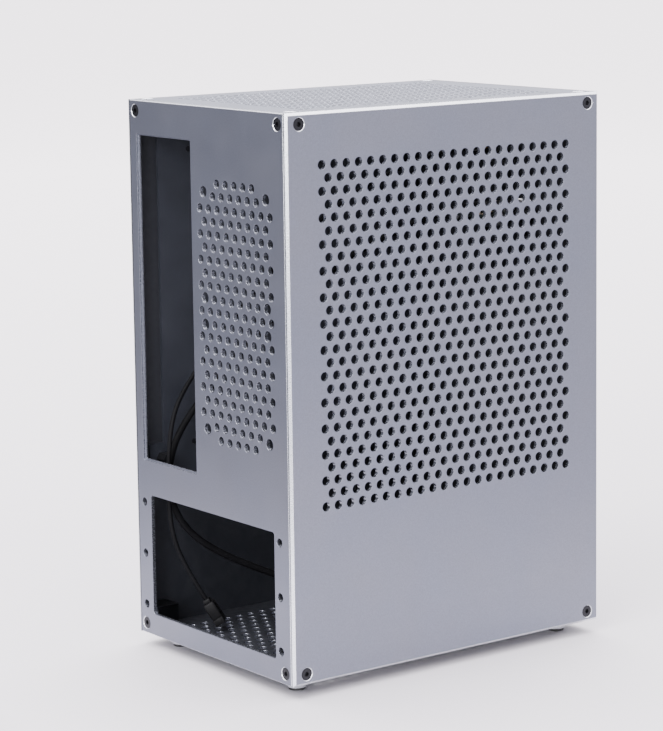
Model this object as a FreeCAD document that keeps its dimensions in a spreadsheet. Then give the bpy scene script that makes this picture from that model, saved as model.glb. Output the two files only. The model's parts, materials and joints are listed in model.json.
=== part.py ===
import FreeCAD, Part
import math
import os

import Sketcher
from FreeCAD import Vector

# An empty small-form-factor computer tower: six aluminium plates screwed to eight corner blocks,
# a motherboard tray, a round power button, a two-port USB board, their two leads, and four feet.
#
# Frame: +Z up, floor at z = 0, origin under the middle of the bounding box. The rear panel faces +Y,
# the front panel faces -Y and the vented side panel faces -X. Lengths are in millimetres.

doc = FreeCAD.newDocument("computer_tower")
sheet = doc.addObject("Spreadsheet::Sheet", "sizes")

SIZES = [
    # outer shell
    ("case_width", 130.0, "across the rear panel, over both side panels"),
    ("case_depth", 188.5, "front face to rear face"),
    ("case_height", 264.0, "bottom face to top face, without feet"),
    ("plate", 2.0, "thickness of all six plates"),
    ("foot_height", 6.5, "floor to the bottom panel"),
    ("edge_chamfer", 1.2, "outer edges of the two side panels"),
    ("small_chamfer", 0.4, "outer edges of the other panels"),
    # panel screws, M3 countersunk
    ("screw_from_side", 6.7, "screw axis to the outer face of a side panel"),
    ("screw_from_face", 7.4, "screw axis to the rear or front face"),
    ("screw_from_end", 5.2, "screw axis to the top or bottom face"),
    ("sink_diameter", 6.5, "mouth of a countersink"),
    ("screw_clearance", 3.3, "clearance hole of a panel screw"),
    ("head_diameter", 6.0, "countersunk head"),
    ("head_recess", 0.2, "head face below the plate"),
    ("shank_diameter", 2.9, "screw shank, inside a 3.0 tapped hole"),
    ("tapped_diameter", 3.0, "tapped M3 hole"),
    ("screw_length", 5.0, "panel screw, measured from the plate's outer face"),
    ("tray_screw_length", 3.6, "tray screw, measured from the plate's outer face"),
    ("socket_width", 2.2, "hexagon socket across flats"),
    ("socket_depth", 1.1, "hexagon socket"),
    # corner blocks
    ("block", 12.0, "side of a corner block"),
    ("tap_depth", 3.5, "blind tapped holes of a corner block"),
    # perforation
    ("vent_hole", 4.4, "small round hole"),
    ("vent_pitch", 7.0, "hole to hole along a row"),
    ("vent_row", 6.062, "row to row, equilateral"),
    ("side_vent_x", -74.4, "first hole of a long row on the side panel, from its middle"),
    ("side_vent_y", -49.8, "lowest row on the side panel, from its middle"),
    ("side_columns", 22, "holes in a long row"),
    ("side_long_rows", 14, ""),
    ("side_short_rows", 13, ""),
    ("bottom_long_rows", 9, "long rows of the bottom panel, which run front to rear"),
    ("bottom_short_rows", 8, ""),
    ("top_columns", 15, "holes in a long row of the top panel, which runs left to right"),
    ("top_long_rows", 13, ""),
    ("top_short_rows", 12, ""),
    # rear panel, seen from outside, from its middle
    ("rear_band", 35.7, "height of the middle of the fan vent and of the board aperture"),
    ("fan_vent_x", 23.8, "middle of the fan vent"),
    ("fan_spacing", 50.0, "screw holes of a 60 mm fan"),
    ("fan_gap", 62.6, "one fan's axis to the other"),
    ("fan_hole", 5.5, ""),
    ("aperture_x", -34.45, "middle of the board aperture"),
    ("aperture_width", 44.45, ""),
    ("aperture_height", 158.75, ""),
    ("rebate_width", 46.1, "shallow step round the board aperture"),
    ("rebate_height", 160.4, ""),
    ("rebate_depth", 1.0, ""),
    ("aperture_corner", 0.6, ""),
    ("supply_x", -0.4, "middle of the power supply opening"),
    ("supply_y", -91.2, ""),
    ("supply_width", 103.2, ""),
    ("supply_height", 59.8, ""),
    ("supply_corner", 1.5, ""),
    ("supply_screw_x", -1.2, "middle of the power supply screw pattern"),
    ("supply_screw_wide", 113.0, "SFX screw pattern"),
    ("supply_screw_tall", 51.5, ""),
    ("supply_hole", 4.2, ""),
    # motherboard tray and its standoffs, on the right side panel
    ("tray_thickness", 1.6, ""),
    ("tray_rear_gap", 14.6, "rear face of the case to the tray's rear edge"),
    ("tray_depth", 159.4, ""),
    ("tray_top_gap", 8.0, "top face of the case to the tray's top edge"),
    ("tray_height", 182.0, ""),
    ("tray_corner", 2.0, ""),
    ("tab_depth", 8.6, "tab that carries the lower rear standoff"),
    ("tab_height", 15.0, ""),
    ("standoff_length", 6.5, ""),
    ("standoff_flats", 5.5, ""),
    ("standoff_bore", 5.0, "depth of the tapped bore"),
    ("board_rear_gap", 3.0, "rear face of the case to the board's rear edge"),
    ("board_top_gap", 14.0, "top face of the case to the board's top edge"),
    ("board_hole_top", 6.35, "upper holes to the board's top edge"),
    ("board_hole_tall", 157.48, "upper holes to lower holes"),
    ("board_hole_front", 165.1, "front holes to the board's rear edge"),
    ("board_hole_rear", 10.16, "lower rear hole to the board's rear edge"),
    ("board_hole_upper_rear", 33.02, "upper rear hole to the board's rear edge"),
    ("tray_screw_inset", 18.0, "tray screws to the tray's edges"),
    # feet
    ("foot_from_side", 16.6, "foot axis to the case's side faces"),
    ("foot_from_face", 13.6, "foot axis to the front and rear faces"),
    ("foot_diameter", 9.8, ""),
    ("foot_ring_height", 5.0, ""),
    ("foot_pad_diameter", 8.1, ""),
    ("foot_recess_diameter", 8.2, "recess of a ring, for its pad"),
    ("foot_recess_depth", 1.6, ""),
    ("foot_screw_length", 7.0, "foot screw, from the pad's seat upwards"),
    # power button, on the front panel
    ("button_from_top", 30.0, "button axis to the top face"),
    ("button_hole", 16.2, ""),
    ("seal_diameter", 17.4, ""),
    ("seal_bore", 15.9, ""),
    ("seal_height", 0.4, ""),
    ("flange_diameter", 18.0, ""),
    ("flange_height", 2.0, "flange face above the front panel"),
    ("barrel_diameter", 15.8, ""),
    ("barrel_length", 16.0, "behind the panel's outer face"),
    ("guide_diameter", 12.2, "bore that guides the cap"),
    ("guide_depth", 8.0, "below the flange face"),
    ("core_diameter", 10.0, "bore behind the guide"),
    ("light_outer", 15.4, "light ring"),
    ("light_inner", 13.4, ""),
    ("light_height", 0.6, ""),
    ("light_play", 0.02, "light ring to the walls of its groove"),
    ("cap_diameter", 11.9, ""),
    ("cap_proud", 0.3, "cap face above the flange face"),
    ("cap_height", 3.9, ""),
    ("dish_radius", 40.0, "hollow of the cap's face"),
    ("dish_depth", 0.3, ""),
    ("stem_diameter", 3.6, ""),
    ("stem_length", 5.9, ""),
    ("contact_diameter", 9.9, ""),
    ("contact_top", 9.5, "front of the contact block, behind the panel's outer face"),
    ("contact_collar", 13.6, ""),
    ("contact_end", 20.0, "rear of the contact block, behind the panel's outer face"),
    ("terminal_length", 4.0, ""),
    ("terminal_width", 2.0, ""),
    ("terminal_thickness", 0.5, ""),
    ("terminal_eye", 0.9, "hole for a wire"),
    ("terminal_eye_height", 2.7, "hole to the terminal's foot"),
    ("terminal_radius", 4.4, "terminals to the button's axis"),
    ("spring_wire", 0.5, ""),
    ("spring_diameter", 6.8, "middle of the wire"),
    ("spring_turns", 5.0, ""),
    ("spring_play", 0.1, "end of the spring to its seat"),
    ("nut_flats", 19.0, ""),
    ("nut_height", 3.0, ""),
    ("nut_bore", 15.9, ""),
    ("boot_diameter", 4.6, "cable boot behind the contact block"),
    ("boot_tip", 3.0, ""),
    ("boot_length", 7.0, ""),
    # USB board, on the front panel
    ("ports_from_top", 60.0, "middle of the larger port to the top face"),
    ("port_spread", 10.5, "port axis to the panel's middle"),
    ("large_port_width", 13.1, ""),
    ("large_port_height", 5.7, ""),
    ("large_port_depth", 14.0, ""),
    ("large_port_corner", 0.5, ""),
    ("small_port_width", 8.94, ""),
    ("small_port_height", 3.26, ""),
    ("small_port_depth", 8.6, ""),
    ("small_port_corner", 1.58, ""),
    ("port_wall", 0.3, "sheet metal of a port"),
    ("port_gap", 0.4, "port to the edge of its cut-out"),
    ("large_block_width", 12.3, "plastic block at the back of a port"),
    ("large_block_height", 4.9, ""),
    ("large_block_depth", 4.0, ""),
    ("large_tongue_width", 11.1, "plastic tongue of a port"),
    ("large_tongue_height", 1.8, ""),
    ("large_tongue_depth", 12.0, ""),
    ("large_tongue_lift", 0.9, "tongue above the port's middle"),
    ("small_block_width", 5.6, ""),
    ("small_block_height", 2.4, ""),
    ("small_block_depth", 2.0, ""),
    ("small_tongue_width", 6.6, ""),
    ("small_tongue_height", 0.7, ""),
    ("small_tongue_depth", 7.0, ""),
    ("small_tongue_lift", 0.0, ""),
    ("board_width", 42.0, ""),
    ("board_depth", 26.5, ""),
    ("board_gap", 0.5, "front panel to the board's front edge"),
    ("board_thickness", 1.6, ""),
    ("board_hole", 2.7, "clearance hole of a board screw"),
    ("spacer_height", 2.8, ""),
    ("spacer_diameter", 5.0, ""),
    ("pan_diameter", 4.5, "head of a board screw"),
    ("pan_height", 1.5, ""),
    ("board_screw_shank", 2.4, ""),
    ("board_screw_length", 5.6, ""),
    ("bracket_tap", 2.5, "tapped hole of a board screw"),
    ("bracket_thickness", 1.2, ""),
    ("bracket_depth", 27.0, ""),
    ("bracket_drop", 14.0, "height of the bracket's upright leg"),
    ("bracket_screw_spread", 14.0, "bracket screws to the panel's middle"),
    ("board_screw_spread", 17.0, "board screws to the panel's middle"),
    ("board_screw_back", 20.0, "board screws behind the panel's inner face"),
    ("anchor_width", 8.0, "cable anchor on the USB board"),
    ("anchor_depth", 10.0, ""),
    ("anchor_height", 5.4, ""),
    ("anchor_back", 29.0, "rear of the anchor behind the panel's inner face"),
    # leads
    ("switch_cable_diameter", 2.2, ""),
    ("usb_cable_diameter", 3.4, ""),
    ("switch_plug_width", 8.0, ""),
    ("switch_plug_height", 5.0, ""),
    ("switch_plug_length", 12.0, ""),
    ("switch_plug_neck", 2.0, "neck between the cable and the plug"),
    ("usb_plug_width", 25.0, ""),
    ("usb_plug_height", 7.0, ""),
    ("usb_plug_length", 11.0, ""),
    ("usb_plug_neck", 4.0, ""),
]
for row, (alias, value, note) in enumerate(SIZES, start=1):
    sheet.set(f"A{row}", note)
    sheet.set(f"B{row}", str(value))
    sheet.setAlias(f"B{row}", alias)
doc.recompute()

EVEN_GAP = -1.0  # a pattern's own mark for a gap that is the same as its others
PAST = 1  # how far a cutting tool runs past the face that it cuts

# Where the frame's own lines lie, as expressions of the sheet.
SHIFT = "(sizes.flange_height + sizes.cap_proud) / 2"  # the button stands out of the front only
REAR = f"(sizes.case_depth / 2 + {SHIFT})"
FRONT = f"({SHIFT} - sizes.case_depth / 2)"
TOP = "(sizes.foot_height + sizes.case_height)"
MIDDLE = "(sizes.foot_height + sizes.case_height / 2)"

# Panel frames: x to the right and y up as seen from outside, z out of the case.
FACING = {
    "top": (Vector(1, 0, 0), Vector(0, 1, 0), Vector(0, 0, 1)),
    "bottom": (Vector(1, 0, 0), Vector(0, -1, 0), Vector(0, 0, -1)),
    "rear": (Vector(-1, 0, 0), Vector(0, 0, 1), Vector(0, 1, 0)),
    "front": (Vector(1, 0, 0), Vector(0, 0, 1), Vector(0, -1, 0)),
    "left": (Vector(0, -1, 0), Vector(0, 0, 1), Vector(-1, 0, 0)),
    "right": (Vector(0, 1, 0), Vector(0, 0, 1), Vector(1, 0, 0)),
}
CORNERS = [(-1, -1), (1, -1), (-1, 1), (1, 1)]
nodes = []


def value_of(expression):
    """The number that an expression of the sheet gives."""
    result = sheet.evalExpression(str(expression))
    return float(getattr(result, "Value", result))


def facing(name):
    return FreeCAD.Rotation(*FACING[name], "ZXY")


def place(thing, x=0, y=0, z=0, rotation=None):
    """Binds an object's position to expressions and turns it."""
    if rotation is not None:
        thing.Placement.Rotation = rotation
    for axis, expression in zip("xyz", (x, y, z)):
        thing.setExpression(f".Placement.Base.{axis}", str(expression))
    return thing


def node(thing, label):
    """Marks an object as a sub-part of its own."""
    thing.Label = label
    nodes.append(thing)
    return thing


# ---- PartDesign helpers ----------------------------------------------------------------------

def new_body(label):
    return doc.addObject("PartDesign::Body", label + "_body")


def new_sketch(body, name, lift=None):
    """A sketch on the body's own XY plane, or above it by an expression."""
    sketch = body.newObject("Sketcher::SketchObject", name)
    plane = next(f for f in body.Origin.OriginFeatures if f.Role == "XY_Plane")
    sketch.AttachmentSupport = (plane, [""])
    sketch.MapMode = "FlatFace"
    if lift is not None:
        sketch.setExpression("AttachmentOffset.Base.z", str(lift))
    return sketch


def bind(sketch, constraint, expression):
    """Adds a dimension and ties it to the sheet."""
    index = sketch.addConstraint(Sketcher.Constraint(*constraint, value_of(expression)))
    sketch.setExpression(f"Constraints[{index}]", str(expression))


def draw_circle(sketch, diameter, x, y):
    centre = Vector(value_of(x), value_of(y), 0)
    circle = Part.Circle(centre, Vector(0, 0, 1), value_of(diameter) / 2)
    index = sketch.addGeometry(circle)
    bind(sketch, ("Diameter", index), diameter)
    bind(sketch, ("DistanceX", -1, 1, index, 3), x)
    bind(sketch, ("DistanceY", -1, 1, index, 3), y)


def draw_rectangle(sketch, width, height, x=0, y=0):
    """A rectangle with its middle at x, y."""
    half_w, half_h = value_of(width) / 2, value_of(height) / 2
    cx, cy = value_of(x), value_of(y)
    points = [Vector(cx + i * half_w, cy + j * half_h, 0) for i, j in ((-1, -1), (1, -1), (1, 1), (-1, 1))]
    lines = [sketch.addGeometry(Part.LineSegment(points[i], points[(i + 1) % 4])) for i in range(4)]
    for i in range(4):
        sketch.addConstraint(Sketcher.Constraint("Coincident", lines[i], 2, lines[(i + 1) % 4], 1))
        sketch.addConstraint(Sketcher.Constraint("Vertical" if i % 2 else "Horizontal", lines[i]))
    bind(sketch, ("DistanceX", lines[0], 1, lines[0], 2), width)
    bind(sketch, ("DistanceY", lines[1], 1, lines[1], 2), height)
    bind(sketch, ("DistanceX", -1, 1, lines[0], 1), f"({x}) - ({width}) / 2")
    bind(sketch, ("DistanceY", -1, 1, lines[0], 1), f"({y}) - ({height}) / 2")


def draw_rounded(sketch, width, height, radius, x=0, y=0):
    """A rectangle with round corners and its middle at x, y."""
    half_w, half_h, r = value_of(width) / 2, value_of(height) / 2, value_of(radius)
    middle = Vector(value_of(x), value_of(y), 0)
    sides, arcs = [], []
    for i, j in ((1, -1), (1, 1), (-1, 1), (-1, -1)):  # each arc and the side before it
        hub = middle + Vector(i * (half_w - r), j * (half_h - r), 0)
        start = {(1, -1): -90, (1, 1): 0, (-1, 1): 90, (-1, -1): 180}[(i, j)]
        turn = Vector(math.cos(math.radians(start)), math.sin(math.radians(start)), 0)
        back = Vector(turn.y, -turn.x, 0)
        run = 2 * ((half_w if abs(back.x) > 0.5 else half_h) - r)
        end = hub + turn * r
        sides.append(sketch.addGeometry(Part.LineSegment(end + back * run, end)))
        circle = Part.Circle(hub, Vector(0, 0, 1), r)
        arc = Part.ArcOfCircle(circle, math.radians(start), math.radians(start + 90))
        arcs.append(sketch.addGeometry(arc))
    for i in range(4):
        sketch.addConstraint(Sketcher.Constraint("Tangent", sides[i], 2, arcs[i], 1))
        sketch.addConstraint(Sketcher.Constraint("Tangent", arcs[i], 2, sides[(i + 1) % 4], 1))
        sketch.addConstraint(Sketcher.Constraint("Vertical" if i % 2 else "Horizontal", sides[i]))
    for i in (1, 2, 3):
        sketch.addConstraint(Sketcher.Constraint("Equal", arcs[0], arcs[i]))
    bind(sketch, ("Radius", arcs[0]), radius)
    bind(sketch, ("DistanceX", sides[0], 1, sides[0], 2), f"({width}) - 2 * ({radius})")
    bind(sketch, ("DistanceY", sides[1], 1, sides[1], 2), f"({height}) - 2 * ({radius})")
    bind(sketch, ("DistanceX", -1, 1, sides[0], 1), f"({x}) - ({width}) / 2 + ({radius})")
    bind(sketch, ("DistanceY", -1, 1, sides[0], 1), f"({y}) - ({height}) / 2")


def pad(body, sketch, length):
    feature = body.newObject("PartDesign::Pad", sketch.Name + "_pad")
    feature.Profile = sketch
    feature.setExpression("Length", str(length))
    doc.recompute()
    return feature


def pocket(body, sketch, depth=None):
    """Cuts upwards from the sketch through everything, or downwards to a depth."""
    feature = body.newObject("PartDesign::Pocket", sketch.Name + "_cut")
    feature.Profile = sketch
    if depth is None:
        feature.Type = "ThroughAll"
        feature.Reversed = True
    else:
        feature.setExpression("Length", str(depth))
    before = feature.BaseFeature.Shape.Volume
    doc.recompute()
    if feature.Shape.Volume >= before:
        raise RuntimeError(f"{feature.Name} cuts nothing")
    return feature


def hole_grid(body, name, diameter, x, y, columns, rows, column_gap, row_gap):
    """A grid of through holes that starts at x, y and runs right and up."""
    sketch = new_sketch(body, name)
    draw_circle(sketch, diameter, x, y)
    first = pocket(body, sketch)
    plate_volume = first.BaseFeature.Shape.Volume
    one_hole = plate_volume - first.Shape.Volume
    grid = body.newObject("PartDesign::LinearPattern", name + "_grid")
    grid.Originals = [first]
    grid.Direction, grid.Direction2 = (sketch, ["H_Axis"]), (sketch, ["V_Axis"])
    grid.Mode, grid.Mode2 = "Spacing", "Spacing"
    grid.setExpression("Offset", str(column_gap))
    grid.setExpression("Offset2", str(row_gap))
    grid.setExpression("Occurrences", str(columns))
    grid.setExpression("Occurrences2", str(rows))
    body.Tip = grid
    doc.recompute()
    grid.Spacings2 = [EVEN_GAP] * (grid.Occurrences2 - 1)
    doc.recompute()
    holes = round((plate_volume - grid.Shape.Volume) / one_hole)
    if holes != grid.Occurrences * grid.Occurrences2:
        raise RuntimeError(f"{name} has {holes} holes, not {grid.Occurrences} x {grid.Occurrences2}")
    return grid


def sunk_holes(body, name, points, thickness="sizes.plate"):
    """Countersunk clearance holes from the outer face, at points given as expressions."""
    sketch = new_sketch(body, name, thickness)
    for x, y in points:
        draw_circle(sketch, "sizes.screw_clearance", x, y)
    doc.recompute()
    hole = body.newObject("PartDesign::Hole", name + "_sunk")
    hole.Profile = sketch
    hole.DepthType = "ThroughAll"
    hole.HoleCutType = "Countersink"
    hole.HoleCutCountersinkAngle = 90
    hole.setExpression("Diameter", "sizes.screw_clearance")
    hole.setExpression("HoleCutDiameter", "sizes.sink_diameter")
    doc.recompute()


def chamfer_outer_edges(body, feature, height, size):
    """Chamfers the edges that lie wholly at a height above the body's plane."""
    chosen = [
        f"Edge{i}" for i, edge in enumerate(feature.Shape.Edges, start=1)
        if all(abs(v.Z - value_of(height)) < 1e-6 for v in edge.Vertexes)
    ]
    chamfer = body.newObject("PartDesign::Chamfer", feature.Name + "_edges")
    chamfer.Base = (feature, chosen)
    chamfer.setExpression("Size", str(size))
    doc.recompute()


# ---- Part helpers ----------------------------------------------------------------------------

def solid(kind, name, x=0, y=0, z=0, rotation=None, **expressions):
    """A Part primitive with its sizes and its place bound to expressions."""
    thing = doc.addObject("Part::" + kind, name)
    for prop, expression in expressions.items():
        thing.setExpression(prop, str(expression))
    return place(thing, x, y, z, rotation)


def centred_box(name, width, depth, height, x=0, y=0, z=0):
    """A box with its middle over x, y and its base at z."""
    return solid("Box", name, f"{x} - ({width}) / 2", f"{y} - ({depth}) / 2", z,
                 Length=width, Width=depth, Height=height)


def disc(name, diameter, height, x=0, y=0, z=0, rotation=None):
    return solid("Cylinder", name, x, y, z, rotation, Radius=f"({diameter}) / 2", Height=height)


def fuse(name, shapes):
    joined = doc.addObject("Part::MultiFuse", name)
    joined.Shapes = shapes
    return joined


def cut(name, base, tools):
    """Takes one or more tools out of a base."""
    result = doc.addObject("Part::Cut", name)
    result.Base = base
    result.Tool = tools[0] if len(tools) == 1 else fuse(name + "_tools", tools)
    return result


def group(label, make, places):
    """Copies of one small part as a node of separate solids; make(name) builds a copy at zero."""
    copies = []
    for number, (x, y, z, rotation) in enumerate(places, start=1):
        copies.append(place(make(f"{label}_{number}"), x, y, z, rotation))
    compound = doc.addObject("Part::Compound", label + "_group")
    compound.Links = copies
    return node(compound, label)


# ---- Panels ----------------------------------------------------------------------------------

def blank(label, width, height, chamfer):
    """A flat plate with its outer edges broken."""
    body = new_body(label)
    sketch = new_sketch(body, label + "_outline")
    draw_rectangle(sketch, width, height)
    plate = pad(body, sketch, "sizes.plate")
    chamfer_outer_edges(body, plate, "sizes.plate", chamfer)
    return node(body, label)


def four(x, y):
    return [(f"{i} * ({x})", f"{j} * ({y})") for i, j in CORNERS]


def staggered(body, name, x, y, columns, long_rows, short_rows, sideways=False):
    """Rows of round holes in a triangular grid; every other row is one hole shorter."""
    pitch, rise = "sizes.vent_pitch", "sizes.vent_row"
    for part, shift, less, rows in (("long", 0, 0, long_rows), ("short", 1, 1, short_rows)):
        start_along = f"{x} + {shift} * {pitch} / 2"
        start_across = f"{y} + {shift} * {rise}"
        count = f"{columns} - {less}"
        if sideways:
            hole_grid(body, f"{name}_{part}", "sizes.vent_hole", start_across, start_along,
                      rows, count, f"2 * {rise}", pitch)
        else:
            hole_grid(body, f"{name}_{part}", "sizes.vent_hole", start_along, start_across,
                      count, rows, pitch, f"2 * {rise}")


SIDE_SCREWS = four("sizes.case_depth / 2 - sizes.screw_from_face",
                   "sizes.case_height / 2 - sizes.screw_from_end")
END_SCREWS = four("sizes.case_width / 2 - sizes.screw_from_side",
                  "sizes.case_height / 2 - sizes.screw_from_end")
LID_SCREWS = four("sizes.case_width / 2 - sizes.screw_from_side",
                  "sizes.case_depth / 2 - sizes.screw_from_face")
INNER_WIDTH = "(sizes.case_width - 2 * sizes.plate)"
INNER_DEPTH = "(sizes.case_depth - 2 * sizes.plate)"

# Tray screws, from the right panel's middle (x towards the rear).
TRAY_X = "sizes.case_depth / 2 - sizes.tray_rear_gap - sizes.tray_depth / 2"
TRAY_Y = "sizes.case_height / 2 - sizes.tray_top_gap - sizes.tray_height / 2"
TRAY_SCREWS = [
    (f"{TRAY_X} + {i} * (sizes.tray_depth / 2 - sizes.tray_screw_inset)",
     f"{TRAY_Y} + {j} * (sizes.tray_height / 2 - sizes.tray_screw_inset)")
    for i, j in CORNERS
]


def side_panels():
    left = blank("left_side_panel", "sizes.case_depth", "sizes.case_height", "sizes.edge_chamfer")
    sunk_holes(left, "left_screws", SIDE_SCREWS)
    staggered(left, "side_vent", "sizes.side_vent_x", "sizes.side_vent_y",
              "sizes.side_columns", "sizes.side_long_rows", "sizes.side_short_rows")
    place(left, "sizes.plate - sizes.case_width / 2", SHIFT, MIDDLE, facing("left"))

    right = blank("right_side_panel", "sizes.case_depth", "sizes.case_height", "sizes.edge_chamfer")
    sunk_holes(right, "right_screws", SIDE_SCREWS + TRAY_SCREWS)
    place(right, "sizes.case_width / 2 - sizes.plate", SHIFT, MIDDLE, facing("right"))


def lids():
    """The perforated top and bottom panels, let in between the four upright ones."""
    for label, height in (("top", f"{TOP} - sizes.plate"), ("bottom", "sizes.foot_height + sizes.plate")):
        lid = blank(label + "_panel", INNER_WIDTH, INNER_DEPTH, "sizes.small_chamfer")
        sunk_holes(lid, label + "_screws", LID_SCREWS)
        if label == "top":
            staggered(lid, "top_vent", "-sizes.vent_pitch * (sizes.top_columns - 1) / 2",
                      "-sizes.vent_row * (sizes.top_long_rows - 1)",
                      "sizes.top_columns", "sizes.top_long_rows", "sizes.top_short_rows")
        else:
            staggered(lid, "bottom_vent", "-sizes.vent_pitch * (sizes.side_columns - 1) / 2",
                      "-sizes.vent_row * (sizes.bottom_long_rows - 1)",
                      "sizes.side_columns", "sizes.bottom_long_rows", "sizes.bottom_short_rows",
                      sideways=True)
            sketch = new_sketch(lid, "foot_holes")
            for x, y in four("sizes.case_width / 2 - sizes.foot_from_side",
                             "sizes.case_depth / 2 - sizes.foot_from_face"):
                draw_circle(sketch, "sizes.tapped_diameter", x, y)
            pocket(lid, sketch)
        place(lid, 0, SHIFT, height, facing(label))


# The fan vent's rows, counted from the lowest: holes in the row, first row, row step, repeats.
FAN_VENT = [(5, 0, 20, 2), (6, 1, 10, 2), (6, 9, 10, 2), (8, 3, 2, 3), (8, 13, 2, 3), (9, 2, 2, 9)]
FAN_VENT_ROWS = 21


def rear_panel():
    rear = blank("rear_panel", INNER_WIDTH, "sizes.case_height", "sizes.small_chamfer")
    sunk_holes(rear, "rear_screws", END_SCREWS)

    openings = new_sketch(rear, "rear_openings")
    draw_rounded(openings, "sizes.aperture_width", "sizes.aperture_height", "sizes.aperture_corner",
                 "sizes.aperture_x", "sizes.rear_band")
    draw_rounded(openings, "sizes.supply_width", "sizes.supply_height", "sizes.supply_corner",
                 "sizes.supply_x", "sizes.supply_y")
    pocket(rear, openings)

    rebate = new_sketch(rear, "rear_rebate", "sizes.plate")
    draw_rounded(rebate, "sizes.rebate_width", "sizes.rebate_height", "sizes.aperture_corner",
                 "sizes.aperture_x", "sizes.rear_band")
    pocket(rear, rebate, "sizes.rebate_depth")

    hole_grid(rear, "supply_screws", "sizes.supply_hole",
              "sizes.supply_screw_x - sizes.supply_screw_wide / 2",
              "sizes.supply_y - sizes.supply_screw_tall / 2",
              2, 3, "sizes.supply_screw_wide", "sizes.supply_screw_tall / 2")

    for name, side in (("upper", 1), ("lower", -1)):
        hole_grid(rear, name + "_fan_screws", "sizes.fan_hole",
                  "sizes.fan_vent_x - sizes.fan_spacing / 2",
                  f"sizes.rear_band + {side} * sizes.fan_gap / 2 - sizes.fan_spacing / 2",
                  2, 2, "sizes.fan_spacing", "sizes.fan_spacing")

    for number, (holes, first, step, repeats) in enumerate(FAN_VENT):
        hole_grid(rear, f"fan_vent_{number}", "sizes.vent_hole",
                  f"sizes.fan_vent_x - sizes.vent_pitch * {(holes - 1) / 2}",
                  f"sizes.rear_band + sizes.vent_row * ({first} - {(FAN_VENT_ROWS - 1) / 2})",
                  holes, repeats, "sizes.vent_pitch", f"sizes.vent_row * {step}")
    place(rear, 0, f"{REAR} - sizes.plate", MIDDLE, facing("rear"))


BUTTON_Y = "sizes.case_height / 2 - sizes.button_from_top"
PORTS_Y = "sizes.case_height / 2 - sizes.ports_from_top"
SMALL_PORT_DROP = "(sizes.large_port_height - sizes.small_port_height) / 2"
BRACKET_SCREW_DROP = ("(sizes.large_port_height / 2 + sizes.board_thickness + sizes.spacer_height"
                      " + sizes.bracket_drop / 2)")


def front_panel():
    front = blank("front_panel", INNER_WIDTH, "sizes.case_height", "sizes.small_chamfer")
    bracket_screws = [(f"{i} * sizes.bracket_screw_spread", f"{PORTS_Y} - {BRACKET_SCREW_DROP}")
                      for i in (-1, 1)]
    sunk_holes(front, "front_screws", END_SCREWS + bracket_screws)
    openings = new_sketch(front, "front_openings")
    draw_circle(openings, "sizes.button_hole", 0, BUTTON_Y)
    draw_rounded(openings, "(sizes.large_port_width + 2 * sizes.port_gap)",
                 "(sizes.large_port_height + 2 * sizes.port_gap)", "2 * sizes.port_gap",
                 "-sizes.port_spread", PORTS_Y)
    draw_rounded(openings, "(sizes.small_port_width + 2 * sizes.port_gap)",
                 "(sizes.small_port_height + 2 * sizes.port_gap)",
                 "(sizes.small_port_corner + sizes.port_gap)",
                 "sizes.port_spread", f"({PORTS_Y} - {SMALL_PORT_DROP})")
    pocket(front, openings)
    place(front, 0, f"{FRONT} + sizes.plate", MIDDLE, facing("front"))


# ---- Corner blocks ---------------------------------------------------------------------------

def corner_blocks():
    """Cubes in the eight inner corners, each with three blind tapped holes."""
    names = {-1: ("left", "front", "lower"), 1: ("right", "rear", "upper")}
    for x_side, y_side in CORNERS:
        for z_side in (-1, 1):
            label = "_".join(("corner_block", names[y_side][1], names[x_side][0], names[z_side][2]))
            wall = (f"{x_side} * (sizes.case_width / 2 - sizes.plate)",
                    f"{SHIFT} + {y_side} * (sizes.case_depth / 2 - sizes.plate)",
                    f"{MIDDLE} + {z_side} * (sizes.case_height / 2 - sizes.plate)")
            axis = (f"{x_side} * (sizes.case_width / 2 - sizes.screw_from_side)",
                    f"{SHIFT} + {y_side} * (sizes.case_depth / 2 - sizes.screw_from_face)",
                    f"{MIDDLE} + {z_side} * (sizes.case_height / 2 - sizes.screw_from_end)")
            cube = solid("Box", label + "_cube",
                         *(f"{edge} - {(1 + side) / 2} * sizes.block"
                           for edge, side in zip(wall, (x_side, y_side, z_side))),
                         Length="sizes.block", Width="sizes.block", Height="sizes.block")
            inward = (Vector(-x_side, 0, 0), Vector(0, -y_side, 0), Vector(0, 0, -z_side))
            mouths = ((wall[0], axis[1], axis[2]), (axis[0], wall[1], axis[2]), (axis[0], axis[1], wall[2]))
            taps = [
                disc(f"{label}_tap_{number}", "sizes.tapped_diameter", "sizes.tap_depth", *mouth,
                     FreeCAD.Rotation(Vector(0, 0, 1), direction))
                for number, (mouth, direction) in enumerate(zip(mouths, inward), start=1)
            ]
            node(cut(label + "_cut", cube, taps), label)


# ---- Screws ----------------------------------------------------------------------------------

def sunk_screw(length):
    """Makes countersunk hexagon-socket screws that point down from z = 0."""
    def make(name):
        top = "-sizes.head_recess"
        taper = "(sizes.head_diameter - sizes.shank_diameter) / 2"
        head = solid("Cone", name + "_head", 0, 0, f"{top} - {taper}",
                     Radius1="sizes.shank_diameter / 2", Radius2="sizes.head_diameter / 2", Height=taper)
        shank = disc(name + "_shank", "sizes.shank_diameter", f"{length} - sizes.head_recess",
                     0, 0, f"-{length}")
        key = solid("Prism", name + "_key", 0, 0, f"{top} - sizes.socket_depth",
                    Circumradius="sizes.socket_width / sqrt(3)", Height=f"sizes.socket_depth + {PAST}")
        whole = fuse(name + "_whole", [head, shank])
        return cut(name, whole, [key])
    return make


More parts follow.
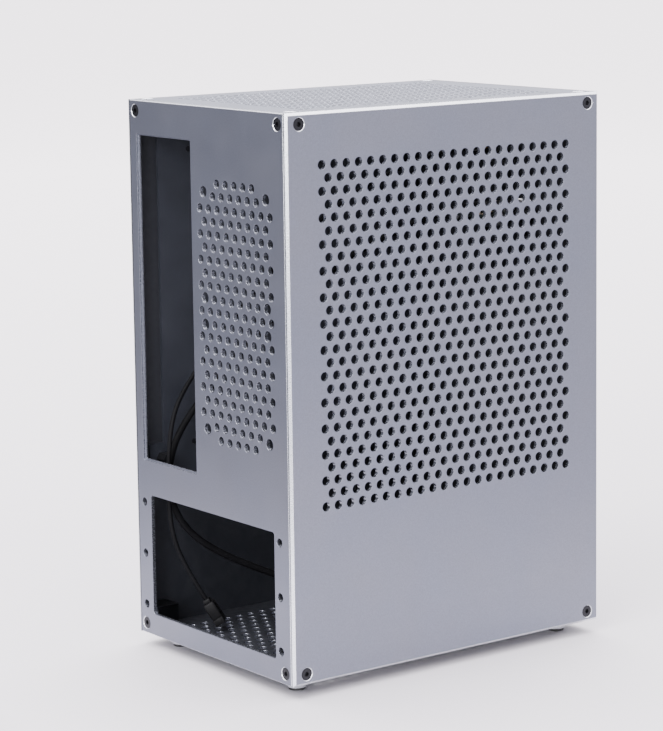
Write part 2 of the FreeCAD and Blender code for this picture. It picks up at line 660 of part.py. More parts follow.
def panel_screws():
    """Each panel's screws, where its countersinks are."""
    outer = {
        "left": ("-sizes.case_width / 2", SHIFT, MIDDLE),
        "right": ("sizes.case_width / 2", SHIFT, MIDDLE),
        "rear": (0, REAR, MIDDLE),
        "front": (0, FRONT, MIDDLE),
        "top": (0, SHIFT, TOP),
        "bottom": (0, SHIFT, "sizes.foot_height"),
    }
    patterns = {"left": SIDE_SCREWS, "right": SIDE_SCREWS, "rear": END_SCREWS, "front": END_SCREWS,
                "top": LID_SCREWS, "bottom": LID_SCREWS}

    def spots(name, points):
        across, up, _ = FACING[name]
        found = []
        for px, py in points:
            found.append(tuple(f"{base} + {int(a)} * ({px}) + {int(b)} * ({py})"
                               for base, a, b in zip(outer[name], across, up)) + (facing(name),))
        return found

    for name, points in patterns.items():
        group(name + "_panel_screws", sunk_screw("sizes.screw_length"), spots(name, points))
    group("tray_screws", sunk_screw("sizes.tray_screw_length"), spots("right", TRAY_SCREWS))
    bracket = [(f"{i} * sizes.bracket_screw_spread", f"{PORTS_Y} - {BRACKET_SCREW_DROP}") for i in (-1, 1)]
    group("usb_bracket_screws", sunk_screw("sizes.screw_length"), spots("front", bracket))


# ---- Motherboard tray ------------------------------------------------------------------------

# The board's four holes: distance from its rear edge, and from the upper holes' line down.
BOARD_HOLES = [
    ("sizes.board_hole_upper_rear", "0"),
    ("sizes.board_hole_rear", "sizes.board_hole_tall"),
    ("sizes.board_hole_front", "0"),
    ("sizes.board_hole_front", "sizes.board_hole_tall"),
]


def motherboard_tray():
    """A flat steel tray on the right side panel, with a tab for the lower rear standoff."""
    tray = new_body("motherboard_tray")
    sketch = new_sketch(tray, "tray_outline")
    draw_rounded(sketch, "sizes.tray_depth", "sizes.tray_height", "sizes.tray_corner", TRAY_X, f"({TRAY_Y})")
    pad(tray, sketch, "sizes.tray_thickness")
    tab = new_sketch(tray, "tray_tab")
    low_hole = "(sizes.case_height / 2 - sizes.board_top_gap - sizes.board_hole_top - sizes.board_hole_tall)"
    draw_rectangle(tab, "2 * sizes.tab_depth", "sizes.tab_height",
                   "(sizes.case_depth / 2 - sizes.tray_rear_gap)", low_hole)
    pad(tray, tab, "sizes.tray_thickness")
    holes = new_sketch(tray, "tray_holes")
    for back, down in BOARD_HOLES:
        draw_circle(holes, "sizes.tapped_diameter",
                    f"sizes.case_depth / 2 - sizes.board_rear_gap - {back}",
                    f"sizes.case_height / 2 - sizes.board_top_gap - sizes.board_hole_top - {down}")
    for x, y in TRAY_SCREWS:
        draw_circle(holes, "sizes.tapped_diameter", x, y)
    pocket(tray, holes)
    node(tray, "motherboard_tray")
    place(tray, "sizes.case_width / 2 - sizes.plate - sizes.tray_thickness", SHIFT, MIDDLE, facing("right"))


def motherboard_standoffs():
    def make(name):
        """A hexagon pillar along +Z with a tapped bore at its top and a stud below."""
        pillar = solid("Prism", name + "_pillar", Circumradius="sizes.standoff_flats / sqrt(3)",
                       Height="sizes.standoff_length")
        stud = disc(name + "_stud", "sizes.shank_diameter", "sizes.tray_thickness", 0, 0,
                    "-sizes.tray_thickness")
        bore = disc(name + "_bore", "sizes.tapped_diameter", f"sizes.standoff_bore + {PAST}", 0, 0,
                    "sizes.standoff_length - sizes.standoff_bore")
        return cut(name, fuse(name + "_whole", [pillar, stud]), [bore])

    face = "sizes.case_width / 2 - sizes.plate - sizes.tray_thickness"
    places = [
        (face, f"{REAR} - sizes.board_rear_gap - {back}",
         f"{TOP} - sizes.board_top_gap - sizes.board_hole_top - {down}", facing("left"))
        for back, down in BOARD_HOLES
    ]
    group("motherboard_standoffs", make, places)


# ---- Feet ------------------------------------------------------------------------------------

def feet():
    """Turned aluminium rings with a rubber pad below and a screw into the bottom panel."""
    ring_base = "(sizes.foot_height - sizes.foot_ring_height)"
    seat = f"({ring_base} + sizes.foot_recess_depth)"
    spots = []
    for number, (x_side, y_side) in enumerate(CORNERS, start=1):
        x = f"{x_side} * (sizes.case_width / 2 - sizes.foot_from_side)"
        y = f"{SHIFT} + {y_side} * (sizes.case_depth / 2 - sizes.foot_from_face)"
        spots.append((x, y, seat, FreeCAD.Rotation(Vector(1, 0, 0), 180)))
        body = disc(f"foot_body_{number}", "sizes.foot_diameter", "sizes.foot_ring_height", x, y, ring_base)
        recess = disc(f"foot_recess_{number}", "sizes.foot_recess_diameter",
                      f"sizes.foot_recess_depth + {PAST}", x, y, f"{ring_base} - {PAST}")
        bore = disc(f"foot_bore_{number}", "sizes.screw_clearance", "sizes.foot_height", x, y, 0)
        sink = solid("Cone", f"foot_sink_{number}", x, y, seat, Radius1="sizes.sink_diameter / 2",
                     Radius2="sizes.screw_clearance / 2",
                     Height="(sizes.sink_diameter - sizes.screw_clearance) / 2")
        node(cut(f"foot_cut_{number}", body, [recess, bore, sink]), f"foot_ring_{number}")
        node(disc(f"foot_rubber_{number}", "sizes.foot_pad_diameter", seat, x, y, 0), f"foot_pad_{number}")
    group("foot_screws", sunk_screw("sizes.foot_screw_length"), spots)


# ---- Power button ----------------------------------------------------------------------------

def on_front(thing, label, height):
    """Stands a part that was built along +Z on the front panel's outer face, at a height."""
    place(thing, 0, FRONT, height, facing("front"))
    return node(thing, label)


def power_button():
    """A round push button: z = 0 is the panel's outer face and +z points out of the case."""
    height = f"{TOP} - sizes.button_from_top"
    face = "sizes.flange_height"

    seal = cut("seal_cut", disc("seal_disc", "sizes.seal_diameter", "sizes.seal_height"),
               [disc("seal_hole", "sizes.seal_bore", "sizes.seal_height")])
    on_front(seal, "button_seal", height)

    flange = disc("housing_flange", "sizes.flange_diameter", "sizes.flange_height - sizes.seal_height",
                  0, 0, "sizes.seal_height")
    barrel = disc("housing_barrel", "sizes.barrel_diameter", "sizes.barrel_length + sizes.flange_height",
                  0, 0, "-sizes.barrel_length")
    guide = disc("housing_guide", "sizes.guide_diameter", f"sizes.guide_depth + {PAST}", 0, 0,
                 f"{face} - sizes.guide_depth")
    core = disc("housing_core", "sizes.core_diameter", f"sizes.barrel_length + {PAST}", 0, 0,
                f"-sizes.barrel_length - {PAST}")
    groove = cut("housing_groove",
                 disc("groove_outer", "sizes.light_outer", "sizes.light_height", 0, 0,
                      f"{face} - sizes.light_height"),
                 [disc("groove_inner", "sizes.light_inner", "sizes.light_height", 0, 0,
                       f"{face} - sizes.light_height")])
    housing = cut("housing_cut", fuse("housing_whole", [flange, barrel]), [guide, core, groove])
    on_front(housing, "button_housing", height)

    light = cut("light_cut",
                disc("light_disc", "sizes.light_outer - 2 * sizes.light_play", "sizes.light_height", 0, 0,
                     f"{face} - sizes.light_height"),
                [disc("light_bore", "sizes.light_inner + 2 * sizes.light_play", "sizes.light_height", 0, 0,
                      f"{face} - sizes.light_height")])
    on_front(light, "button_light_ring", height)

    cap_top = f"({face} + sizes.cap_proud)"
    crown = disc("cap_crown", "sizes.cap_diameter", "sizes.cap_height", 0, 0, f"{cap_top} - sizes.cap_height")
    dish = solid("Sphere", "cap_dish", 0, 0, f"{cap_top} + sizes.dish_radius - sizes.dish_depth",
                 Radius="sizes.dish_radius")
    stem = disc("cap_stem", "sizes.stem_diameter", "sizes.stem_length", 0, 0,
                f"{cap_top} - sizes.cap_height - sizes.stem_length")
    on_front(cut("cap_cut", fuse("cap_whole", [crown, stem]), [dish]), "button_cap", height)

    block = disc("contact_core", "sizes.contact_diameter", "sizes.contact_end - sizes.contact_top", 0, 0,
                 "-sizes.contact_end")
    collar = disc("contact_flange", "sizes.contact_collar", "sizes.contact_end - sizes.barrel_length", 0, 0,
                  "-sizes.contact_end")
    on_front(fuse("contact_whole", [block, collar]), "button_contact_block", height)

    nut = cut("nut_cut",
              solid("Prism", "nut_hexagon", 0, 0, "-sizes.plate - sizes.nut_height",
                    Circumradius="sizes.nut_flats / sqrt(3)", Height="sizes.nut_height"),
              [disc("nut_hole", "sizes.nut_bore", "sizes.nut_height", 0, 0,
                    "-sizes.plate - sizes.nut_height")])
    on_front(nut, "button_nut", height)

    boot = solid("Cone", "boot_cone", Radius1="sizes.boot_tip / 2",
                 Radius2="sizes.boot_diameter / 2", Height="sizes.boot_length")
    boot.Placement.Rotation = facing("front")
    place(boot, 0, f"{FRONT} + sizes.contact_end + sizes.boot_length", height)
    node(boot, "switch_cable_boot")

    def terminal(name):
        blade = centred_box(name + "_blade", "sizes.terminal_width", "sizes.terminal_thickness",
                            "sizes.terminal_length")
        eye = disc(name + "_eye", "sizes.terminal_eye", f"sizes.terminal_thickness + 2 * {PAST}", 0,
                   f"-sizes.terminal_thickness / 2 - {PAST}", "sizes.terminal_eye_height",
                   FreeCAD.Rotation(Vector(1, 0, 0), -90))
        return cut(name, blade, [eye])

    places = []
    for x, z in ((1, 0), (-1, 0), (0, 1), (0, -1)):
        places.append((f"{x} * sizes.terminal_radius", f"{FRONT} + sizes.contact_end",
                       f"{height} + {z} * sizes.terminal_radius", facing("rear")))
    group("button_terminals", terminal, places)


QUARTERS = 4  # arcs in one turn of the spring


def button_spring():
    """A coil spring round the cap's stem, from the cap to the contact block."""
    wire, middle = value_of("sizes.spring_wire"), value_of("sizes.spring_diameter") / 2
    play = value_of("sizes.spring_play")
    top = value_of("sizes.flange_height + sizes.cap_proud - sizes.cap_height") - play - wire / 2
    base = -value_of("sizes.contact_top") + play + wire / 2
    arcs = round(value_of("sizes.spring_turns") * QUARTERS)

    def on_coil(step):
        angle = 2 * math.pi * step / QUARTERS
        return Vector(middle * math.cos(angle), middle * math.sin(angle), (top - base) * step / arcs)

    coil = Part.Wire([Part.Arc(on_coil(i), on_coil(i + 0.5), on_coil(i + 1)).toShape() for i in range(arcs)])
    start = coil.Edges[0]
    section = Part.Wire(Part.makeCircle(wire / 2, on_coil(0), start.tangentAt(start.FirstParameter)))
    spring = doc.addObject("Part::Feature", "spring_coil")
    spring.Shape = coil.makePipeShell([section], True, True)
    spring.Placement = FreeCAD.Placement(
        Vector(0, value_of(f"{FRONT} - ({base})"), value_of(f"{TOP} - sizes.button_from_top")),
        facing("front"))
    node(spring, "button_spring")


# ---- USB board -------------------------------------------------------------------------------

def usb_board():
    """A small board behind the front panel, with one large and one small port."""
    inner = f"({FRONT} + sizes.plate)"
    height = f"({TOP} - sizes.ports_from_top)"
    deck = f"({height} - sizes.large_port_height / 2)"
    underside = f"({deck} - sizes.board_thickness)"
    shelf = f"({underside} - sizes.spacer_height)"
    screw_y = f"{inner} + sizes.board_screw_back"

    def board_holes(name, diameter, base, length):
        return [
            disc(f"{name}_{side + 1}", diameter, f"{length} + 2 * {PAST}",
                 f"{side} * sizes.board_screw_spread", screw_y, f"{base} - {PAST}")
            for side in (-1, 1)
        ]

    board = centred_box("board_plate", "sizes.board_width", "sizes.board_depth", "sizes.board_thickness",
                        0, f"{inner} + sizes.board_gap + sizes.board_depth / 2", underside)
    holes = board_holes("board_hole", "sizes.board_hole", underside, "sizes.board_thickness")
    node(cut("board_cut", board, holes), "usb_board")

    for name, side in (("large", -1), ("small", 1)):
        usb_port(name, f"{side} * sizes.port_spread", deck)

    shelf_plate = centred_box("bracket_shelf", "sizes.board_width", "sizes.bracket_depth",
                              "sizes.bracket_thickness", 0, f"{inner} + sizes.bracket_depth / 2",
                              f"{shelf} - sizes.bracket_thickness")
    leg = centred_box("bracket_leg", "sizes.board_width", "sizes.bracket_thickness", "sizes.bracket_drop",
                      0, f"{inner} + sizes.bracket_thickness / 2", f"{shelf} - sizes.bracket_drop")
    taps = board_holes("bracket_tap", "sizes.bracket_tap", f"{shelf} - sizes.bracket_thickness",
                       "sizes.bracket_thickness")
    leg_taps = [
        disc(f"leg_tap_{side + 1}", "sizes.tapped_diameter", f"sizes.bracket_thickness + 2 * {PAST}",
             f"{side} * sizes.bracket_screw_spread", f"{inner} - {PAST}",
             f"{height} - {BRACKET_SCREW_DROP}", FreeCAD.Rotation(Vector(1, 0, 0), -90))
        for side in (-1, 1)
    ]
    bracket = cut("bracket_cut", fuse("bracket_whole", [shelf_plate, leg]), taps + leg_taps)
    node(bracket, "usb_bracket")

    def spacer(name):
        return cut(name, disc(name + "_tube", "sizes.spacer_diameter", "sizes.spacer_height"),
                   [disc(name + "_bore", "sizes.board_hole", "sizes.spacer_height")])

    def board_screw(name):
        head = disc(name + "_pan", "sizes.pan_diameter", "sizes.pan_height")
        shank = disc(name + "_shank", "sizes.board_screw_shank", "sizes.board_screw_length", 0, 0,
                     "-sizes.board_screw_length")
        return fuse(name, [head, shank])

    spots = [(f"{side} * sizes.board_screw_spread", screw_y) for side in (-1, 1)]
    group("usb_board_spacers", spacer, [(x, y, shelf, None) for x, y in spots])
    group("usb_board_screws", board_screw, [(x, y, deck, None) for x, y in spots])

    anchor = centred_box("anchor_block", "sizes.anchor_width", "sizes.anchor_depth", "sizes.anchor_height",
                         0, f"{inner} + sizes.anchor_back - sizes.anchor_depth / 2", deck)
    node(anchor, "usb_cable_anchor")


def usb_port(name, x, deck):
    """A sheet metal shell, open to the front, and the plastic block and tongue inside it."""
    width, tall, deep, corner = (f"sizes.{name}_port_{size}" for size in ("width", "height", "depth", "corner"))
    shell = new_body(f"usb_{name}_shell")
    outline = new_sketch(shell, f"{name}_port_outline")
    draw_rounded(outline, width, tall, corner)
    pad(shell, outline, deep)
    hollow = new_sketch(shell, f"{name}_port_hollow", deep)
    draw_rounded(hollow, f"({width} - 2 * sizes.port_wall)", f"({tall} - 2 * sizes.port_wall)",
                 f"({corner} - sizes.port_wall)")
    pocket(shell, hollow, f"{deep} - sizes.port_wall")
    middle = f"({deck} + {tall} / 2)"
    place(shell, x, f"{FRONT} + {deep}", middle, facing("front"))
    node(shell, f"usb_{name}_shell")

    pieces = []
    for part, lift in (("block", "0"), ("tongue", f"sizes.{name}_tongue_lift")):
        wide, high, long = (f"sizes.{name}_{part}_{size}" for size in ("width", "height", "depth"))
        pieces.append(centred_box(f"{name}_{part}", wide, long, high, x,
                                  f"{FRONT} + {deep} - sizes.port_wall - {long} / 2",
                                  f"{middle} + {lift} - {high} / 2"))
    node(fuse(f"{name}_insert", pieces), f"usb_{name}_insert")


# ---- Leads -----------------------------------------------------------------------------------

ARC_SHARE = 0.45  # part of the shorter run that an arc takes
NECK_WIDTH = 0.6  # a plug's neck, as a share of the plug's width
NECK_HEIGHT = 0.7


def cable_path(points):
    """Straight runs joined by tangent arcs, each as large as its runs allow; also gives the radii."""
    edges, radii = [], []
    start = points[0]
    for before, corner, after in zip(points, points[1:], points[2:]):
        into, out = (corner - before), (after - corner)
        shorter = min(into.Length, out.Length)
        into.normalize()
        out.normalize()
        turn = into.getAngle(out)
        trim = ARC_SHARE * shorter
        radii.append(trim / math.tan(turn / 2))
        first, last = corner - into * trim, corner + out * trim
        inside = out - into
        inside.normalize()
        hub_gap = math.hypot(radii[-1], trim)
        middle = corner + inside * (hub_gap - radii[-1])
        edges.append(Part.LineSegment(start, first).toShape())
        edges.append(Part.Arc(first, middle, last).toShape())
        start = last
    edges.append(Part.LineSegment(start, points[-1]).toShape())
    return Part.Wire(edges), radii


def cable(label, route):
    """A plain tube along a route; gives the route's points."""
    points = [Vector(*p) for p in route]
    diameter = value_of(f"sizes.{label}_diameter")
    path, radii = cable_path(points)
    along = points[1] - points[0]
    section = Part.Wire(Part.makeCircle(diameter / 2, points[0], along))
    tube = doc.addObject("Part::Feature", label + "_tube")
    tube.Shape = path.makePipeShell([section], True, False)
    node(tube, label)
    expected = path.Length * math.pi * diameter ** 2 / 4
    print(f"{label}: length {path.Length:.1f}, volume / expected {tube.Shape.Volume / expected:.4f}, "
          f"radii {[round(r, 1) for r in radii]}")
    return points


def plug_on(label, name, points):
    """A plug that carries on from the cable's last run, with its wide face level."""
    direction = points[-1] - points[-2]
    level = direction.cross(Vector(0, 0, 1))
    width, height, length, neck = (f"sizes.{name}_{size}" for size in ("width", "height", "length", "neck"))
    block = centred_box(label + "_block", width, height, length, z=neck)
    collar = centred_box(label + "_collar", f"{width} * {NECK_WIDTH}", f"{height} * {NECK_HEIGHT}", neck)
    rotation = FreeCAD.Rotation(level, direction.cross(level), direction, "ZXY")
    plug = place(fuse(label + "_whole", [block, collar]), *points[-1], rotation)
    return node(plug, label)


def leads():
    """The leads of the power button and of the USB board, as they hang and lie in the empty case."""
    button = (0, value_of(f"{FRONT} + sizes.contact_end + sizes.boot_length"),
              value_of(f"{TOP} - sizes.button_from_top"))
    switch_route = [
        button, (0, -47.0, 240.0), (7, -28.0, 233.5), (19, -5.0, 220.5), (32.5, 18.0, 198.5),
        (44, 41.0, 170.0), (50, 66.5, 139.0), (49, 80.0, 123.4), (46.5, 86.3, 111.8), (45, 89.3, 95.1),
        (44.6, 90.0, 75.4), (44.2, 88.2, 55.4), (40.2, 81.2, 36.9), (35.5, 75.3, 24.8),
    ]
    plug_on("switch_plug", "switch_plug", cable("switch_cable", switch_route))

    anchor = (0, value_of(f"{FRONT} + sizes.plate + sizes.anchor_back"),
              value_of(f"{TOP} - sizes.ports_from_top - sizes.large_port_height / 2"
                       " + sizes.anchor_height / 2"))
    usb_route = [
        anchor, (-1, -45.0, 209.6), (3, -24.0, 203.5), (14, 0.0, 190.5), (28, 22.0, 171.5),
        (41, 43.0, 148.5), (51, 67.0, 120.5), (50.5, 78.5, 107.4), (49, 84.4, 98.4), (49, 86.9, 87.5),
        (48, 86.3, 74.0), (47, 81.6, 62.8), (44.5, 73.0, 52.6), (40.5, 59.6, 43.4), (36, 47.0, 36.9),
        (30, 34.0, 30.6), (22, 18.0, 23.2), (13, 0.0, 15.6), (3, -18.0, 12.2), (-9, -33.0, 12.2),
    ]
    plug_on("usb_plug", "usb_plug", cable("usb_cable", usb_route))


def main():
    side_panels()
    lids()
    rear_panel()
    front_panel()
    corner_blocks()
    panel_screws()
    motherboard_tray()
    motherboard_standoffs()
    feet()
    power_button()
    button_spring()
    usb_board()
    leads()
    doc.recompute()

    for thing in doc.Objects:
        if {"Invalid", "Error"} & set(thing.State):
            raise RuntimeError(f"{thing.Name} ({thing.Label}) failed: {thing.State}")
    labels = [thing.Label for thing in nodes]
    if len(set(labels)) != len(labels):
        raise RuntimeError("two sub-parts share a label")
    for thing in nodes:
        if thing.Shape.isNull() or not thing.Shape.isValid() or not thing.Shape.Solids:
            raise RuntimeError(f"{thing.Label} has no valid solid")
    os.makedirs("parts", exist_ok=True)
    for thing in nodes:
        thing.Shape.exportStep(os.path.join("parts", thing.Label + ".step"))
    print(f"{len(nodes)} sub-parts written")


main()
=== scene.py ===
import json
import math
import random

import bmesh
import bpy
from mathutils import Matrix, Vector


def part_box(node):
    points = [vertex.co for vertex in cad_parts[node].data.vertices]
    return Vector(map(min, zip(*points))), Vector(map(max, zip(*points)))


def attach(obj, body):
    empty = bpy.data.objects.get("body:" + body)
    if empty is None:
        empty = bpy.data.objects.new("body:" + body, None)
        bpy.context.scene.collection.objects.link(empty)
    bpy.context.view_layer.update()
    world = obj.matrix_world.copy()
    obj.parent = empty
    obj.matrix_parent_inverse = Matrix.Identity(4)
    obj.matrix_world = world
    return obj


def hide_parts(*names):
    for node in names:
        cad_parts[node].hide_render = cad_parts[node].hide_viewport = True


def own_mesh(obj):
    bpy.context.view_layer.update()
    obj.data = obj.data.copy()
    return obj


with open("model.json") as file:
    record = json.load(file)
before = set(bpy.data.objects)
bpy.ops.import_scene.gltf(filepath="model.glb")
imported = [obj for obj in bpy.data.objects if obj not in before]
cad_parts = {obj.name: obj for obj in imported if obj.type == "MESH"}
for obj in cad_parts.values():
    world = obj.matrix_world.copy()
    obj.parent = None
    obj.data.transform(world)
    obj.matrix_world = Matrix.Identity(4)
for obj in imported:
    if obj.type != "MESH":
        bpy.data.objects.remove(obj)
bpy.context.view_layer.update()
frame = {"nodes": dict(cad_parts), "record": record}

# The looks of an empty small-form-factor computer tower: bead-blasted aluminium plates with bright cut
# edges and black insides, black socket screws, turned feet, a power button, a USB board and two leads.
# The rear panel faces +Y of the row frame and the vented side panel faces -X. Lengths are in metres, except
# that the leads' routes are in millimetres.

MM = 0.001
NODES = frame["nodes"]


# ---- Camera ----------------------------------------------------------------------------------

CAMERA_PLACE = Vector((-1.0346, 0.7985, 0.364))
CAMERA_FORWARD = Vector((0.79125, -0.59364, -0.14665))
CAMERA_RIGHT = Vector((-0.60164, -0.79866, -0.01322))
CAMERA_LENS = 132.68
CAMERA_SHIFT = -0.0896


def add_camera():
    data = bpy.data.cameras.new("camera")
    data.lens = CAMERA_LENS
    data.shift_y = CAMERA_SHIFT
    data.clip_start = 0.05
    camera = bpy.data.objects.new("camera", data)
    up = CAMERA_RIGHT.cross(CAMERA_FORWARD)
    turn = Matrix((CAMERA_RIGHT, up, -CAMERA_FORWARD)).transposed().to_4x4()
    camera.matrix_world = Matrix.Translation(CAMERA_PLACE) @ turn
    bpy.context.scene.collection.objects.link(camera)
    bpy.context.scene.camera = camera


add_camera()


# ---- Mesh helpers ----------------------------------------------------------------------------

def finish_piece(piece, material, replaced=()):
    """Gives a piece its material, hides the CAD parts it replaces, and lets it ride on the chassis."""
    piece.data.materials.append(material)
    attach(piece, "chassis")
    if replaced:
        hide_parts(*replaced)
    return piece


def mesh_piece(name, bm, smooth_angle=35.0):
    """A mesh object from a bmesh, smooth except at sharp edges."""
    bmesh.ops.recalc_face_normals(bm, faces=bm.faces)
    limit = math.radians(smooth_angle)
    for face in bm.faces:
        face.smooth = True
    for edge in bm.edges:
        edge.smooth = len(edge.link_faces) == 2 and edge.calc_face_angle(0.0) < limit
    mesh = bpy.data.meshes.new(name)
    bm.to_mesh(mesh)
    bm.free()
    piece = bpy.data.objects.new(name, mesh)
    bpy.context.scene.collection.objects.link(piece)
    return piece


def add_block(bm, size, centre, turn=None, bevel=0.0, segments=2):
    """Adds a box with rounded edges to a bmesh."""
    made = bmesh.ops.create_cube(bm, size=1.0)
    matrix = Matrix.Translation(Vector(centre)) @ Matrix.Diagonal((*size, 1.0))
    if turn is not None:
        matrix = turn @ matrix
    bmesh.ops.transform(bm, matrix=matrix, verts=made["verts"])
    if bevel:
        edges = list({e for v in made["verts"] for e in v.link_edges})
        bmesh.ops.bevel(bm, geom=edges, offset=bevel, segments=segments, profile=0.5, affect="EDGES")


def add_lathe(bm, profile, centre, axis, steps):
    """Adds a closed turned shape; profile is a list of (radius, height) from axis to axis."""
    turn = Vector(axis).to_track_quat("Z", "Y").to_matrix().to_4x4()
    frame_of = Matrix.Translation(Vector(centre)) @ turn
    rings = []
    for radius, height in profile:
        if radius == 0.0:
            rings.append([bm.verts.new(frame_of @ Vector((0, 0, height)))])
            continue
        ring = []
        for i in range(steps):
            angle = 2 * math.pi * i / steps
            corner = Vector((radius * math.cos(angle), radius * math.sin(angle), height))
            ring.append(bm.verts.new(frame_of @ corner))
        rings.append(ring)
    for low, high in zip(rings, rings[1:]):
        for i in range(steps):
            j = (i + 1) % steps
            corners = [low[i % len(low)], low[j % len(low)], high[j % len(high)], high[i % len(high)]]
            bm.faces.new(list(dict.fromkeys(corners)))


# ---- Materials -------------------------------------------------------------------------------

class Look:
    """A node material around one Principled shader."""

    def __init__(self, name, **values):
        self.material = bpy.data.materials.new(name)
        self.material.use_nodes = True
        self.tree = self.material.node_tree
        self.shader = self.tree.nodes["Principled BSDF"]
        for socket, value in values.items():
            self.shader.inputs[socket.replace("_", " ")].default_value = value
        self.point = self.add("ShaderNodeTexCoord").outputs["Object"]

    def add(self, kind, inputs=(), **settings):
        node = self.tree.nodes.new(kind)
        for setting, value in settings.items():
            setattr(node, setting, value)
        for socket, value in dict(inputs).items():
            if isinstance(value, bpy.types.NodeSocket):
                self.tree.links.new(value, node.inputs[socket])
            else:
                node.inputs[socket].default_value = value
        return node

    def noise(self, size, detail=2.0, roughness=0.55, point=None):
        """A noise whose patches are about size metres across, from 0 to 1."""
        return self.add("ShaderNodeTexNoise", {
            "Vector": point or self.point, "Scale": 1.0 / size, "Detail": detail, "Roughness": roughness,
        }).outputs["Fac"]

    def spread(self, value, low, high, start=0.3, end=0.7):
        """Maps a value from start..end to low..high."""
        return self.add("ShaderNodeMapRange", {
            "Value": value, "From Min": start, "From Max": end, "To Min": low, "To Max": high,
        }).outputs["Result"]

    def math(self, operation, first, second):
        return self.add("ShaderNodeMath", {0: first, 1: second}, operation=operation).outputs["Value"]

    def weigh(self, share, first, second):
        """The mean of two values, with this share of the first."""
        return self.math("ADD", self.math("MULTIPLY", first, share),
                         self.math("MULTIPLY", second, 1.0 - share))

    def mix(self, factor, first, second):
        node = self.add("ShaderNodeMix", {0: factor}, data_type="RGBA")
        for socket, value in ((6, first), (7, second)):
            if isinstance(value, bpy.types.NodeSocket):
                self.tree.links.new(value, node.inputs[socket])
            else:
                node.inputs[socket].default_value = (*value, 1.0)
        return node.outputs[2]

    def facing(self, direction):
        """How far the surface's true normal points along a direction, from -1 to 1."""
        normal = self.add("ShaderNodeNewGeometry").outputs["True Normal"]
        return self.add("ShaderNodeVectorMath", {0: normal, 1: direction},
                        operation="DOT_PRODUCT").outputs["Value"]

    def stretched(self, scale):
        return self.add("ShaderNodeMapping", {"Vector": self.point, "Scale": scale}).outputs["Vector"]

    def bump(self, height, distance, strength, under=None):
        inputs = {"Height": height, "Distance": distance, "Strength": strength}
        if under is not None:
            inputs["Normal"] = under
        return self.add("ShaderNodeBump", inputs).outputs["Normal"]

    def set(self, **sockets):
        for socket, value in sockets.items():
            self.tree.links.new(value, self.shader.inputs[socket.replace("_", " ")])
        return self.material


ALUMINIUM = (0.180, 0.192, 0.240)
ALUMINIUM_WARM = (0.191, 0.198, 0.238)
BRIGHT_EDGE = (0.80, 0.82, 0.87)
DULL_EDGE = (0.62, 0.64, 0.70)
INSIDE_BLACK = (0.009, 0.010, 0.014)
HOLE_WALL = (0.220, 0.230, 0.268)
EDGE_ROUNDING = 0.5 * MM
FLAT_FACE = 0.9  # a normal this far along the outward direction, or against it, is a plate's own face
SQUARE_CUT = 0.3  # below this it is a cut edge or a hole's wall; between the two lie the chamfers
METALNESS = 0.9
BLAST_DEPTH, BLAST_STRENGTH = 0.02 * MM, 0.55
WAVE_DEPTH, WAVE_STRENGTH = 0.06 * MM, 0.5


def panel_look(name, outward):
    """Bead-blasted, anodised outside; bright chamfers; duller cut edges and hole walls; black inside."""
    look = Look(name)
    facing = look.facing(outward)
    outside = look.math("GREATER_THAN", facing, FLAT_FACE)
    inside = look.math("LESS_THAN", facing, -FLAT_FACE)
    wall = look.math("LESS_THAN", facing, SQUARE_CUT)

    blotches = look.noise(45 * MM, detail=3.0)
    grain = look.noise(0.6 * MM, detail=1.0)
    outer = look.mix(look.spread(blotches, 0.0, 1.0), ALUMINIUM, ALUMINIUM_WARM)
    specks = look.spread(grain, 0.93, 1.06)
    speckled = look.add("ShaderNodeVectorMath", {0: outer, "Scale": specks},
                        operation="SCALE").outputs["Vector"]
    cut_marks = look.noise(0.9 * MM, detail=2.0, point=look.stretched((1.0, 1.0, 5.0)))
    chamfer = look.mix(look.spread(cut_marks, 0.0, 1.0), BRIGHT_EDGE, DULL_EDGE)
    edge = look.mix(wall, chamfer, HOLE_WALL)
    colour = look.mix(inside, look.mix(outside, edge, speckled), INSIDE_BLACK)

    wiped = look.noise(20 * MM, detail=4.0, roughness=0.6)
    outer_rough = look.spread(wiped, 0.40, 0.47)
    edge_rough = look.spread(cut_marks, 0.20, 0.32)
    inner_rough = look.spread(look.noise(4 * MM), 0.45, 0.62)
    metal = look.math("MULTIPLY", look.math("SUBTRACT", 1.0, inside), METALNESS)

    def blend(mask, low, high):
        return look.add("ShaderNodeMix", {0: mask, 2: low, 3: high}, data_type="FLOAT").outputs[0]

    rough = blend(inside, blend(outside, edge_rough, outer_rough), inner_rough)
    rounded = look.add("ShaderNodeBevel", {"Radius": EDGE_ROUNDING}, samples=4).outputs["Normal"]
    beads = look.noise(0.3 * MM, detail=2.0, roughness=0.7)
    blast = look.bump(beads, BLAST_DEPTH, BLAST_STRENGTH, rounded)
    waves = look.bump(look.noise(30 * MM, detail=1.0), WAVE_DEPTH, WAVE_STRENGTH, blast)
    return look.set(Base_Color=colour, Roughness=rough, Metallic=metal, Normal=waves)


def metal_look(name, colour, darker, rough_low, rough_high, grain=0.0004, marks=(1.0, 1.0, 1.0)):
    """Plain metal with fine marks; marks stretches them along an axis."""
    look = Look(name, Metallic=1.0)
    lines = look.noise(grain, detail=3.0, point=look.stretched(marks))
    patches = look.noise(6 * MM, detail=3.0)
    tone = look.mix(look.spread(look.weigh(0.5, lines, patches), 0.0, 1.0), colour, darker)
    rough = look.spread(look.weigh(0.6, lines, patches), rough_low, rough_high)
    return look.set(Base_Color=tone, Roughness=rough, Normal=look.bump(lines, 0.00001, 0.5))


